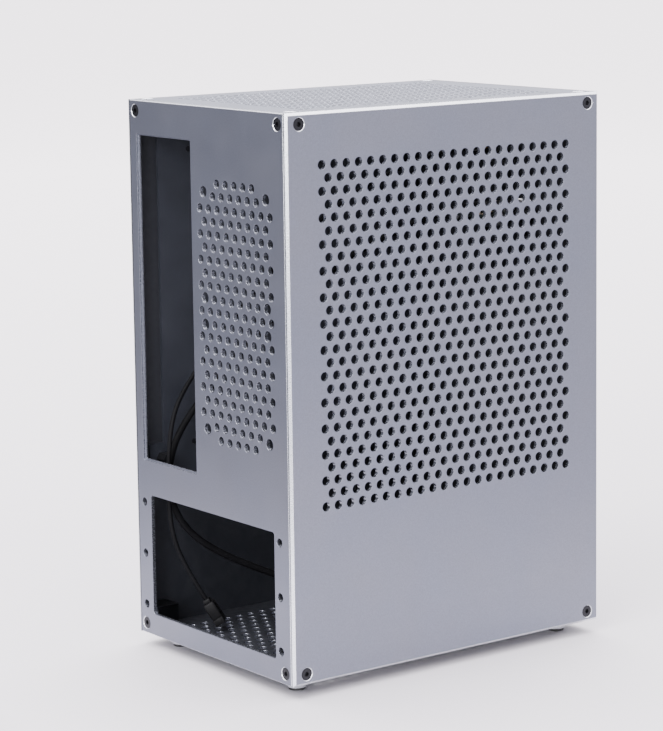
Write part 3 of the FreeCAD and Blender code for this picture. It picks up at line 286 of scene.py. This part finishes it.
def coated_look(name, colour, paler, rough_low, rough_high, grain, depth, **values):
    """Paint, rubber or moulded plastic: a fine pebble, with paler dusty patches."""
    look = Look(name, **values)
    dust = look.noise(12 * MM, detail=4.0, roughness=0.6)
    pebble = look.noise(grain, detail=2.0)
    mixed = look.weigh(0.6, dust, pebble)
    tone = look.mix(look.spread(mixed, 0.0, 1.0), colour, paler)
    rough = look.spread(mixed, rough_low, rough_high)
    return look.set(Base_Color=tone, Roughness=rough, Normal=look.bump(pebble, depth, 0.6))


def board_look():
    """Black solder mask over fine copper tracks."""
    look = Look("circuit_board", Coat_Weight=0.35, Coat_Roughness=0.25)
    tracks = look.add("ShaderNodeTexVoronoi", {"Vector": look.point, "Scale": 420.0, "Randomness": 0.55},
                      feature="DISTANCE_TO_EDGE", distance="MANHATTAN").outputs["Distance"]
    copper = look.spread(tracks, 1.0, 0.0, 0.03, 0.07)
    weave = look.noise(0.0005, detail=2.0)
    tone = look.mix(copper, (0.010, 0.014, 0.013), (0.030, 0.042, 0.036))
    rough = look.spread(weave, 0.34, 0.5)
    return look.set(Base_Color=tone, Roughness=rough, Normal=look.bump(copper, 0.00003, 0.7))


def light_ring_look():
    look = Look("light_ring", IOR=1.49, Transmission_Weight=0.35, Subsurface_Weight=0.2)
    cloud = look.noise(0.0015, detail=3.0)
    tone = look.mix(look.spread(cloud, 0.0, 1.0), (0.86, 0.89, 0.92), (0.72, 0.76, 0.80))
    return look.set(Base_Color=tone, Roughness=look.spread(cloud, 0.22, 0.38),
                    Normal=look.bump(cloud, 0.00001, 0.4))


LOOKS = {
    "block": metal_look("block_aluminium", (0.040, 0.041, 0.047), (0.026, 0.027, 0.031), 0.30, 0.44,
                        grain=0.0005, marks=(1.0, 1.0, 6.0)),
    "foot": metal_look("foot_aluminium", (0.60, 0.61, 0.64), (0.47, 0.48, 0.52), 0.22, 0.34,
                       grain=0.0003, marks=(0.15, 0.15, 4.0)),
    "button": metal_look("button_steel", (0.36, 0.365, 0.38), (0.27, 0.275, 0.29), 0.22, 0.36,
                         grain=0.0003, marks=(1.0, 1.0, 0.12)),
    "port": metal_look("port_steel", (0.60, 0.60, 0.60), (0.47, 0.47, 0.48), 0.20, 0.34, grain=0.0006),
    "spring": metal_look("spring_steel", (0.56, 0.56, 0.57), (0.38, 0.38, 0.40), 0.18, 0.32, grain=0.0003),
    "brass": metal_look("terminal_brass", (0.66, 0.49, 0.22), (0.50, 0.35, 0.14), 0.24, 0.38, grain=0.0005),
    "gold": metal_look("contact_gold", (0.83, 0.62, 0.27), (0.68, 0.48, 0.18), 0.16, 0.28, grain=0.0004),
    "tin": metal_look("solder_tin", (0.62, 0.63, 0.64), (0.45, 0.46, 0.48), 0.20, 0.38, grain=0.0005),
    "screw": coated_look("screw_black", (0.010, 0.010, 0.012), (0.028, 0.028, 0.033), 0.28, 0.44,
                         0.0006, 0.00001, Metallic=0.75),
    "tray": coated_look("tray_steel", (0.011, 0.0125, 0.018), (0.018, 0.020, 0.028), 0.40, 0.54,
                        0.0007, 0.00003),
    "rubber": coated_look("foot_rubber", (0.018, 0.018, 0.019), (0.042, 0.042, 0.043), 0.62, 0.80,
                          0.0006, 0.00004),
    "plastic": coated_look("black_plastic", (0.003, 0.003, 0.0035), (0.007, 0.007, 0.008), 0.42, 0.58,
                           0.0005, 0.00002, Specular_IOR_Level=0.12),
    "jacket": coated_look("cable_jacket", (0.0025, 0.0025, 0.003), (0.006, 0.006, 0.007), 0.50, 0.66,
                          0.0008, 0.00003, Specular_IOR_Level=0.05),
    "chip": coated_look("chip_black", (0.018, 0.018, 0.019), (0.034, 0.034, 0.035), 0.40, 0.55,
                        0.0003, 0.00001),
    "ceramic": coated_look("capacitor_tan", (0.34, 0.24, 0.15), (0.46, 0.34, 0.22), 0.38, 0.52,
                           0.0004, 0.00001),
    "board": board_look(),
    "light": light_ring_look(),
}

OUTWARD = {
    "left_side_panel": (-1, 0, 0),
    "right_side_panel": (1, 0, 0),
    "rear_panel": (0, 1, 0),
    "front_panel": (0, -1, 0),
    "top_panel": (0, 0, 1),
    "bottom_panel": (0, 0, -1),
}

SLOT_LOOKS = {
    "block_aluminium": "block", "foot_aluminium": "foot", "foot_rubber": "rubber", "screw_black": "screw",
    "tray_steel": "tray", "terminal_brass": "brass", "button_steel": "button", "light_ring": "light",
    "spring_steel": "spring", "black_plastic": "plastic", "port_steel": "port",
    "circuit_board": "board", "cable_jacket": "jacket",
}


def dress_nodes():
    """Every CAD node gets the look of its material slot; each plate has its own, by the way it faces."""
    slots = {part["node"]: part["material_slot"] for part in frame["record"]["subparts"]}
    for name, node in NODES.items():
        if name in OUTWARD:
            material = panel_look(name, OUTWARD[name])
        else:
            material = LOOKS[SLOT_LOOKS[slots[name]]]
        node.data.materials.clear()
        node.data.materials.append(material)


dress_nodes()


# ---- Leads -----------------------------------------------------------------------------------

# The leads' routes, in millimetres, from where they leave the button and the USB board to their plugs.
SWITCH_ROUTE = [
    (0, -66.1, 240.5), (0, -47.0, 240.0), (7, -28.0, 233.5), (19, -5.0, 220.5), (32.5, 18.0, 198.5),
    (44, 41.0, 170.0), (50, 66.5, 139.0), (49, 80.0, 123.4), (46.5, 86.3, 111.8), (45, 89.3, 95.1),
    (44.6, 90.0, 75.4), (44.2, 88.2, 55.4), (40.2, 81.2, 36.9), (35.5, 75.3, 24.8),
]
USB_ROUTE = [
    (0, -62.1, 210.35), (-1, -45.0, 209.6), (3, -24.0, 203.5), (14, 0.0, 190.5), (28, 22.0, 171.5),
    (41, 43.0, 148.5), (51, 67.0, 120.5), (50.5, 78.5, 107.4), (49, 84.4, 98.4), (49, 86.9, 87.5),
    (48, 86.3, 74.0), (47, 81.6, 62.8), (44.5, 73.0, 52.6), (40.5, 59.6, 43.4), (36, 47.0, 36.9),
    (30, 34.0, 30.6), (22, 18.0, 23.2), (13, 0.0, 15.6), (3, -18.0, 12.3), (-9, -33.0, 12.1),
]
SWITCH_DIAMETER = 2.2 * MM
USB_DIAMETER = 3.4 * MM


def lead(name, route, diameter, replaced):
    """A round cable on one smooth curve through its route."""
    curve = bpy.data.curves.new(name, "CURVE")
    curve.dimensions = "3D"
    curve.resolution_u = 16
    curve.bevel_depth = diameter / 2
    curve.bevel_resolution = 6
    curve.use_fill_caps = True
    spline = curve.splines.new("NURBS")
    spline.points.add(len(route) - 1)
    for point, place in zip(spline.points, route):
        point.co = (*(value * MM for value in place), 1.0)
    spline.order_u = 3
    spline.use_endpoint_u = True
    piece = bpy.data.objects.new(name, curve)
    bpy.context.scene.collection.objects.link(piece)
    return finish_piece(piece, LOOKS["jacket"], replaced=[replaced])


def plug_frame(route):
    """The place where a plug starts, with +Z along the cable and +X level."""
    end, before = Vector(route[-1]) * MM, Vector(route[-2]) * MM
    along = (end - before).normalized()
    level = along.cross(Vector((0, 0, 1))).normalized()
    across = along.cross(level)
    turn = Matrix((level, across, along)).transposed().to_4x4()
    return Matrix.Translation(end) @ turn


PLUG_RIBS = 4
PLUG_FIRST_RIB = 0.16  # the first grip rib's place and the step to the next, as shares of the length
PLUG_RIB_STEP = 0.11


def pin_plug(name, route, width, height, length, neck, columns, rows, replaced):
    """A moulded header plug: a necked body with grip ribs, and a row of square sockets at its end."""
    start = plug_frame(route)
    bm = bmesh.new()
    wall, divider, rounding = 0.9 * MM, 0.35 * MM, 0.12 * MM
    rib_width, rib_depth, proud = 0.55 * MM, 0.3 * MM, 0.05 * MM
    solid, hollow, divided = length * 0.72, length * 0.28, length * 0.26
    mouth = neck + solid
    add_block(bm, (width * 0.6, height * 0.7, neck * 1.1), (0, 0, neck / 2), start, 0.35 * MM)
    add_block(bm, (width, height, solid), (0, 0, neck + solid / 2), start, 0.45 * MM, 3)
    for side in (-1, 1):
        add_block(bm, (width, wall, hollow), (0, side * (height - wall) / 2, mouth + hollow / 2),
                  start, rounding)
        add_block(bm, (wall, height - 2 * wall, hollow), (side * (width - wall) / 2, 0, mouth + hollow / 2),
                  start, rounding)
    for column in range(1, columns):
        at = -width / 2 + width * column / columns
        add_block(bm, (divider, height - 2 * wall, divided), (at, 0, mouth + divided / 2), start)
    if rows > 1:
        add_block(bm, (width - 2 * wall, divider, divided), (0, 0, mouth + divided / 2), start)
    for rib in range(PLUG_RIBS):
        at = neck + length * (PLUG_FIRST_RIB + PLUG_RIB_STEP * rib)
        for side in (-1, 1):
            add_block(bm, (width * 0.7, rib_depth, rib_width), (0, side * (height / 2 + proud), at),
                      start, rounding)
    for side in (-1, 1):
        add_block(bm, (0.5 * MM, rib_depth, length * 0.9),
                  (side * width * 0.43, -height / 2 - proud, neck + length * 0.48), start, rounding)
    return finish_piece(mesh_piece(name, bm), LOOKS["plastic"], replaced=[replaced])


switch_lead = lead("switch_lead", SWITCH_ROUTE, SWITCH_DIAMETER, "switch_cable")
switch_end = pin_plug("switch_lead_plug", SWITCH_ROUTE, 8 * MM, 5 * MM, 12 * MM, 2 * MM, 3, 1,
                      "switch_plug")

usb_lead = lead("usb_lead", USB_ROUTE, USB_DIAMETER, "usb_cable")
usb_end = pin_plug("usb_lead_plug", USB_ROUTE, 25 * MM, 7 * MM, 11 * MM, 4 * MM, 10, 2, "usb_plug")


# ---- Power button ----------------------------------------------------------------------------

def add_tube(bm, path, radius, sides):
    """Adds a closed round tube along a list of points."""
    rings = []
    across = None
    for i, point in enumerate(path):
        along = (path[min(i + 1, len(path) - 1)] - path[max(i - 1, 0)]).normalized()
        if across is None:
            across = along.orthogonal().normalized()
        across = (across - along * across.dot(along)).normalized()
        other = along.cross(across)
        angles = [2 * math.pi * k / sides for k in range(sides)]
        rings.append([bm.verts.new(point + (across * math.cos(a) + other * math.sin(a)) * radius)
                      for a in angles])
    for low, high in zip(rings, rings[1:]):
        for k in range(sides):
            j = (k + 1) % sides
            bm.faces.new((low[k], low[j], high[j], high[k]))
    bm.faces.new(reversed(rings[0]))
    bm.faces.new(rings[-1])


SPRING_TURNS = 6.0
SPRING_END = 0.9  # turns that lie flat at each end
SPRING_STEPS = 28  # points on one turn


def button_spring():
    """The return spring, with closed ends."""
    low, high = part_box("button_spring")
    wire = 0.25 * MM  # its radius
    flat_pitch = 2.2 * wire
    centre = (low + high) / 2
    radius = (high.x - low.x) / 2 - wire
    free = high.y - low.y - 2 * wire
    ends = 2 * flat_pitch * SPRING_END
    steps = int(SPRING_TURNS * SPRING_STEPS)
    path = []
    for i in range(steps + 1):
        turn = SPRING_TURNS * i / steps
        risen = min(max((turn - SPRING_END) / (SPRING_TURNS - 2 * SPRING_END), 0.0), 1.0)
        closed = flat_pitch * (min(turn, SPRING_END) + max(turn - SPRING_TURNS + SPRING_END, 0.0))
        angle = 2 * math.pi * turn
        path.append(Vector((centre.x + radius * math.cos(angle),
                            low.y + wire + risen * (free - ends) + closed,
                            centre.z + radius * math.sin(angle))))
    bm = bmesh.new()
    add_tube(bm, path, wire, 10)
    piece = finish_piece(mesh_piece("button_return_spring", bm), LOOKS["spring"],
                         replaced=["button_spring"])
    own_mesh(piece)


button_spring()


BOOT_RIBS = 5
BOOT_SMOOTH = 0.12  # the boot's smooth start, its ribbed part and a rib's slopes, as shares of its length
BOOT_RIBBED = 0.84
BOOT_SLOPE = 0.02
BOOT_RIB = 0.55  # how much of one step is rib, and not groove


def ribbed_boot():
    """The rubber boot behind the button: a tapered sleeve with ribs."""
    low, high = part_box("switch_cable_boot")
    centre = (low + high) / 2
    wide, narrow = (high.x - low.x) / 2, 1.5 * MM
    length = high.y - low.y
    rounding, groove = 0.15 * MM, 0.3 * MM
    profile = [(0.0, 0.0), (wide - rounding, 0.0), (wide, rounding)]
    for rib in range(BOOT_RIBS):
        start, stop = (BOOT_SMOOTH + BOOT_RIBBED * (rib + part) / BOOT_RIBS for part in (0.0, BOOT_RIB))
        outer = [wide + (narrow - wide) * share for share in (start, stop)]
        profile += [(outer[0] - groove, start * length), (outer[0], (start + BOOT_SLOPE) * length),
                    (outer[1], (stop - BOOT_SLOPE) * length), (outer[1] - groove, stop * length)]
    profile += [(narrow - groove, length), (0.0, length)]
    bm = bmesh.new()
    add_lathe(bm, profile, (centre.x, low.y, centre.z), (0, 1, 0), 40)
    finish_piece(mesh_piece("switch_lead_boot", bm), LOOKS["rubber"],
                 replaced=["switch_cable_boot"])


ribbed_boot()


SWITCH_WIRE_RADIUS = 0.45 * MM
SOLDER_RADIUS = 0.62 * MM
SOLDER_STRETCH = 1.25


def switch_wires():
    """Four short insulated wires, each on one Bezier curve, from the button's terminals to the boot."""
    low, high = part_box("button_terminals")
    centre = (low + high) / 2
    boot_low, boot_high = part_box("switch_cable_boot")
    wires, solder = bmesh.new(), bmesh.new()
    reach = 3.9 * MM
    steps = 14
    for x, z in ((1, 0), (-1, 0), (0, 1), (0, -1)):
        out = Vector((x, 0, z))
        eye = Vector((centre.x, high.y - 1.3 * MM, centre.z)) + out * reach
        back = Vector((centre.x, boot_low.y + 4.6 * MM, centre.z))
        points = [eye, eye + Vector((0, 1.9 * MM, 0)) - out * 0.3 * MM,
                  back + out * 2.6 * MM + Vector((0, 0.9 * MM, 0)), back + out * 1.5 * MM]
        path = []
        for i in range(steps + 1):
            t = i / steps
            a, b, c, d = ((1 - t) ** 3, 3 * t * (1 - t) ** 2, 3 * t * t * (1 - t), t ** 3)
            path.append(points[0] * a + points[1] * b + points[2] * c + points[3] * d)
        add_tube(wires, path, SWITCH_WIRE_RADIUS, 10)
        bead = bmesh.ops.create_icosphere(solder, subdivisions=2, radius=SOLDER_RADIUS)
        stretch = Matrix.Diagonal((1, SOLDER_STRETCH, 1, 1))
        bmesh.ops.transform(solder, matrix=Matrix.Translation(eye) @ stretch, verts=bead["verts"])
    finish_piece(mesh_piece("switch_wires", wires), LOOKS["jacket"])
    finish_piece(mesh_piece("terminal_solder", solder, 80), LOOKS["tin"])


switch_wires()


# ---- Feet ------------------------------------------------------------------------------------

# Across the tread, as shares of the radius: 1 where it is sunk into a groove, and 0 where it is not.
FOOT_TREAD = ((0.22, 1), (0.28, 0), (0.50, 0), (0.54, 1), (0.62, 1), (0.66, 0))
FOOT_RIM_STEPS = 4


def foot_pads():
    """Turned rubber pads with a round rim and two grooves in the tread."""
    for number in range(1, 5):
        name = f"foot_pad_{number}"
        low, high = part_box(name)
        centre = (low + high) / 2
        radius, height = (high.x - low.x) / 2, high.z - low.z
        groove, rim = 0.3 * MM, 0.45 * MM
        profile = [(0.0, groove)] + [(radius * share, groove * sunk) for share, sunk in FOOT_TREAD]
        for step in range(FOOT_RIM_STEPS + 1):
            angle = math.pi / 2 * step / FOOT_RIM_STEPS
            profile.append((radius - rim + rim * math.sin(angle), rim - rim * math.cos(angle)))
        profile += [(radius, height), (0.0, height)]
        bm = bmesh.new()
        add_lathe(bm, profile, (centre.x, centre.y, low.z), (0, 0, 1), 56)
        finish_piece(mesh_piece(f"foot_tread_{number}", bm), LOOKS["rubber"],
                     replaced=[name])


foot_pads()


# ---- USB board -------------------------------------------------------------------------------

CHIPS = ((9.2 * MM, 4.0 * MM), (-9.4 * MM, 3.0 * MM))  # place along the board, and width
CHIP_HEIGHT = 0.85 * MM
CHIP_PITCH = 0.65 * MM
CHIP_PIN = (0.28 * MM, 0.9 * MM, 0.22 * MM)
CAPACITOR = (0.85 * MM, 0.82 * MM, 0.75 * MM)
CAPACITOR_END = (0.36 * MM, 0.88 * MM, 0.8 * MM)
CAPACITOR_GAP = 0.12  # how many of the capacitors' places stay empty
BOARD_REACH = 14.5 * MM  # nothing stands further from the board's middle
PORTS = (("usb_large_shell", 4, 2.0 * MM), ("usb_small_shell", 6, 1.0 * MM))  # pins, and their pitch
PORT_PIN = (0.55 * MM, 1.3 * MM, 0.3 * MM)
LARGE_CONTACTS = (-3.5, -1.0, 1.0, 3.5)
LARGE_CONTACT = (1.1 * MM, 7.2 * MM, 0.1 * MM)
SMALL_CONTACTS = 12
SMALL_PITCH = 0.5 * MM
SMALL_CONTACT = (0.26 * MM, 3.6 * MM, 0.06 * MM)


def board_parts():
    """Chips, capacitors and solder on the USB board, and the gold contacts in its two ports."""
    draw = random.Random(11)
    low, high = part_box("usb_board")
    deck = high.z
    chips, ceramics, tin = bmesh.new(), bmesh.new(), bmesh.new()
    back = high.y - 6.2 * MM
    for x, size in CHIPS:
        add_block(chips, (size, size, CHIP_HEIGHT), (x, back, deck + 0.52 * MM), bevel=0.12 * MM)
        pins = int(size / CHIP_PITCH)
        for i in range(pins):
            offset = (i - (pins - 1) / 2) * CHIP_PITCH
            for side in (-1, 1):
                place = (x + offset, back + side * (size / 2 + 0.3 * MM), deck + 0.12 * MM)
                add_block(tin, CHIP_PIN, place, bevel=0.05 * MM)
    for row in range(2):
        for column in range(4):
            for side in (-1, 1):
                x = side * (6.2 + 1.9 * column) * MM
                y = high.y - (1.4 + 9.6 * row) * MM + draw.uniform(-0.15, 0.15) * MM
                if abs(x) > BOARD_REACH or draw.random() < CAPACITOR_GAP:
                    continue
                add_block(ceramics, CAPACITOR, (x, y, deck + 0.4 * MM), bevel=0.07 * MM)
                for end in (-1, 1):
                    add_block(tin, CAPACITOR_END, (x + end * 0.56 * MM, y, deck + 0.42 * MM),
                              bevel=0.08 * MM)
    for port, pins, pitch in PORTS:
        shell_low, shell_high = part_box(port)
        middle = (shell_low + shell_high) / 2
        for i in range(pins):
            x = middle.x + (i - (pins - 1) / 2) * pitch
            add_block(tin, PORT_PIN, (x, shell_high.y + 0.75 * MM, deck + 0.15 * MM), bevel=0.09 * MM)
    finish_piece(mesh_piece("usb_board_chips", chips), LOOKS["chip"])
    finish_piece(mesh_piece("usb_board_capacitors", ceramics), LOOKS["ceramic"])
    finish_piece(mesh_piece("usb_board_solder", tin), LOOKS["tin"])

    gold = bmesh.new()
    insert_low, insert_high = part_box("usb_large_insert")
    middle = (insert_low + insert_high) / 2
    for offset in LARGE_CONTACTS:
        add_block(gold, LARGE_CONTACT,
                  (middle.x + offset * MM, insert_low.y + 4.4 * MM, middle.z - 0.03 * MM), bevel=0.03 * MM)
    finish_piece(mesh_piece("usb_large_contacts", gold), LOOKS["gold"])
    gold = bmesh.new()
    insert_low, insert_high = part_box("usb_small_insert")
    middle = (insert_low + insert_high) / 2
    for pin in range(SMALL_CONTACTS):
        for face in (-1, 1):
            add_block(gold, SMALL_CONTACT,
                      (middle.x + (pin - (SMALL_CONTACTS - 1) / 2) * SMALL_PITCH, insert_low.y + 2.4 * MM,
                       middle.z + face * 0.36 * MM), bevel=0.015 * MM)
    finish_piece(mesh_piece("usb_small_contacts", gold), LOOKS["gold"])


board_parts()


GRIP_RIBS = 4
GRIP_RADIUS = 2.6  # millimetres, at the first rib
GRIP_TAPER = 0.17  # millimetres less at each further rib


def cable_grip():
    """The moulded grip that holds the USB lead on its board: a shouldered block and a ribbed tail."""
    low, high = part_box("usb_cable_anchor")
    centre = (low + high) / 2
    width, height = high.x - low.x, high.z - low.z
    bm = bmesh.new()
    block = 5.6 * MM
    add_block(bm, (width, block, height), (centre.x, low.y + block / 2, centre.z),
              bevel=0.5 * MM, segments=3)
    rib_top = high.z - 0.05 * MM - height * 0.25
    add_block(bm, (width * 0.72, 0.8 * MM, height * 0.5), (centre.x, low.y + block / 2, rib_top),
              bevel=0.15 * MM)
    tail = high.y - low.y - block
    sunk, groove, slope, end_radius = 0.3 * MM, 0.4 * MM, 0.08 * MM, 1.75 * MM
    profile = [(0.0, -sunk)]
    for rib in range(GRIP_RIBS):
        outer = (GRIP_RADIUS - GRIP_TAPER * rib) * MM
        start, stop = (tail * (rib + part) / GRIP_RIBS for part in (0.02, 0.6))
        profile += [(outer - groove, start), (outer, start + slope), (outer, stop - slope),
                    (outer - groove, stop)]
    profile += [(end_radius, tail), (0.0, tail)]
    add_lathe(bm, profile, (centre.x, low.y + block, centre.z), (0, 1, 0), 40)
    finish_piece(mesh_piece("usb_lead_grip", bm), LOOKS["plastic"],
                 replaced=["usb_cable_anchor"])


cable_grip()


# ---- Studio ----------------------------------------------------------------------------------

LEFT = -CAMERA_RIGHT.normalized()
TOWARD = Vector((-CAMERA_FORWARD.x, -CAMERA_FORWARD.y, 0)).normalized()
MIDDLE = Vector((0, 0, 0.14))
FLOOR_SIZE = 14.0
# Painted shade: the floor's near tone is darker around the tower and fades to the far tone further off.
FLOOR_NEAR_SHADE = (0.54, 0.52, 0.555)
FLOOR_FAR = (0.88, 0.85, 0.88)
FLOOR_SHADE_LEFT = (0.050, 0.052, 0.062)  # painted shade: a dark floor tone beyond the picture's left edge, where the rear panel mirrors it
FLOOR_SHADE_RIGHT = (0.29, 0.287, 0.32)  # painted shade: a mid-grey floor tone beyond its right edge, where the side panel mirrors it
FLOOR_TURN = (0.22, 0.42)  # where those two begin and are full, sideways
FLOOR_SLANT = 0.45
FLOOR_FADE = (0.3, 2.4)  # metres from the middle where the near tone ends and the far one is full
ROOM_TURN = (-0.5, 0.6)  # sideways, from the right's colour to the left's
ROOM_RISE = (0.35, 0.85)  # upwards, from the walls' colours to the one above
ROOM_LEFT = (0.26, 0.28, 0.33)
ROOM_RIGHT = (1.75, 1.72, 1.80)
ROOM_ABOVE = (6.4, 6.15, 6.35)


def add_floor():
    """A wide pale floor with painted shade: darker near the tower and lighter further off, and painted
    darker out of the picture, on its left above all, where the panels mirror it.
    """
    bm = bmesh.new()
    bmesh.ops.create_grid(bm, x_segments=2, y_segments=2, size=FLOOR_SIZE)
    floor = mesh_piece("studio_floor", bm)
    look = Look("studio_floor")
    away = look.add("ShaderNodeVectorMath", {0: look.point}, operation="LENGTH").outputs["Value"]
    sideways = [look.add("ShaderNodeVectorMath", {0: look.point, 1: side + TOWARD * FLOOR_SLANT},
                         operation="DOT_PRODUCT").outputs["Value"] for side in (LEFT, -LEFT)]
    # Masks for the painted shade on the floor beside the tower, on the left and on the right.
    left, right = (look.spread(side, 0.0, 1.0, *FLOOR_TURN) for side in sideways)
    paper = look.noise(0.002)
    pale = look.mix(look.spread(away, 0.0, 1.0, *FLOOR_FADE), FLOOR_NEAR_SHADE, FLOOR_FAR)
    tone = look.mix(right, look.mix(left, pale, FLOOR_SHADE_LEFT), FLOOR_SHADE_RIGHT)
    floor.data.materials.append(
        look.set(Base_Color=tone, Roughness=look.spread(paper, 0.6, 0.7),
                 Normal=look.bump(paper, 0.00004, 0.3)))


def add_softbox(name, place, width, height, power):
    """A white area light that faces the middle of the tower."""
    light = bpy.data.lights.new(name, "AREA")
    light.shape = "RECTANGLE"
    light.size = width
    light.size_y = height
    light.energy = power
    box = bpy.data.objects.new(name, light)
    turn = (place - MIDDLE).to_track_quat("Z", "Y").to_matrix().to_4x4()
    box.matrix_world = Matrix.Translation(place) @ turn
    bpy.context.scene.collection.objects.link(box)


def add_world():
    """A pale room: bright overhead, dim to the left of the picture and lighter to its right."""
    world = bpy.data.worlds.new("studio")
    world.use_nodes = True
    tree = world.node_tree
    direction = tree.nodes.new("ShaderNodeTexCoord").outputs["Generated"]

    def share_along(axis, start, end):
        along = tree.nodes.new("ShaderNodeVectorMath")
        along.operation = "DOT_PRODUCT"
        along.inputs[1].default_value = axis
        tree.links.new(direction, along.inputs[0])
        share = tree.nodes.new("ShaderNodeMapRange")
        share.inputs["From Min"].default_value = start
        share.inputs["From Max"].default_value = end
        tree.links.new(along.outputs["Value"], share.inputs["Value"])
        return share.outputs["Result"]

    def blend(share, first, second):
        mix = tree.nodes.new("ShaderNodeMix")
        mix.data_type = "RGBA"
        tree.links.new(share, mix.inputs[0])
        if isinstance(first, tuple):
            mix.inputs[6].default_value = (*first, 1.0)
        else:
            tree.links.new(first, mix.inputs[6])
        mix.inputs[7].default_value = (*second, 1.0)
        return mix.outputs[2]

    around = blend(share_along(LEFT, *ROOM_TURN), ROOM_RIGHT, ROOM_LEFT)
    room = blend(share_along((0, 0, 1), *ROOM_RISE), around, ROOM_ABOVE)
    tree.links.new(room, tree.nodes["Background"].inputs["Color"])
    bpy.context.scene.world = world


add_floor()
add_world()
add_softbox("front_key", MIDDLE + TOWARD * 2.0 + LEFT * 0.75 + Vector((0, 0, 0.62)),
            width=0.8, height=1.1, power=62)
add_softbox("left_top", MIDDLE + LEFT * 1.0 + TOWARD * 0.9 + Vector((0, 0, 1.7)),
            width=0.8, height=0.8, power=44)
add_softbox("overhead", MIDDLE - TOWARD * 0.9 + Vector((0, 0, 2.2)), width=1.8, height=1.8, power=80)
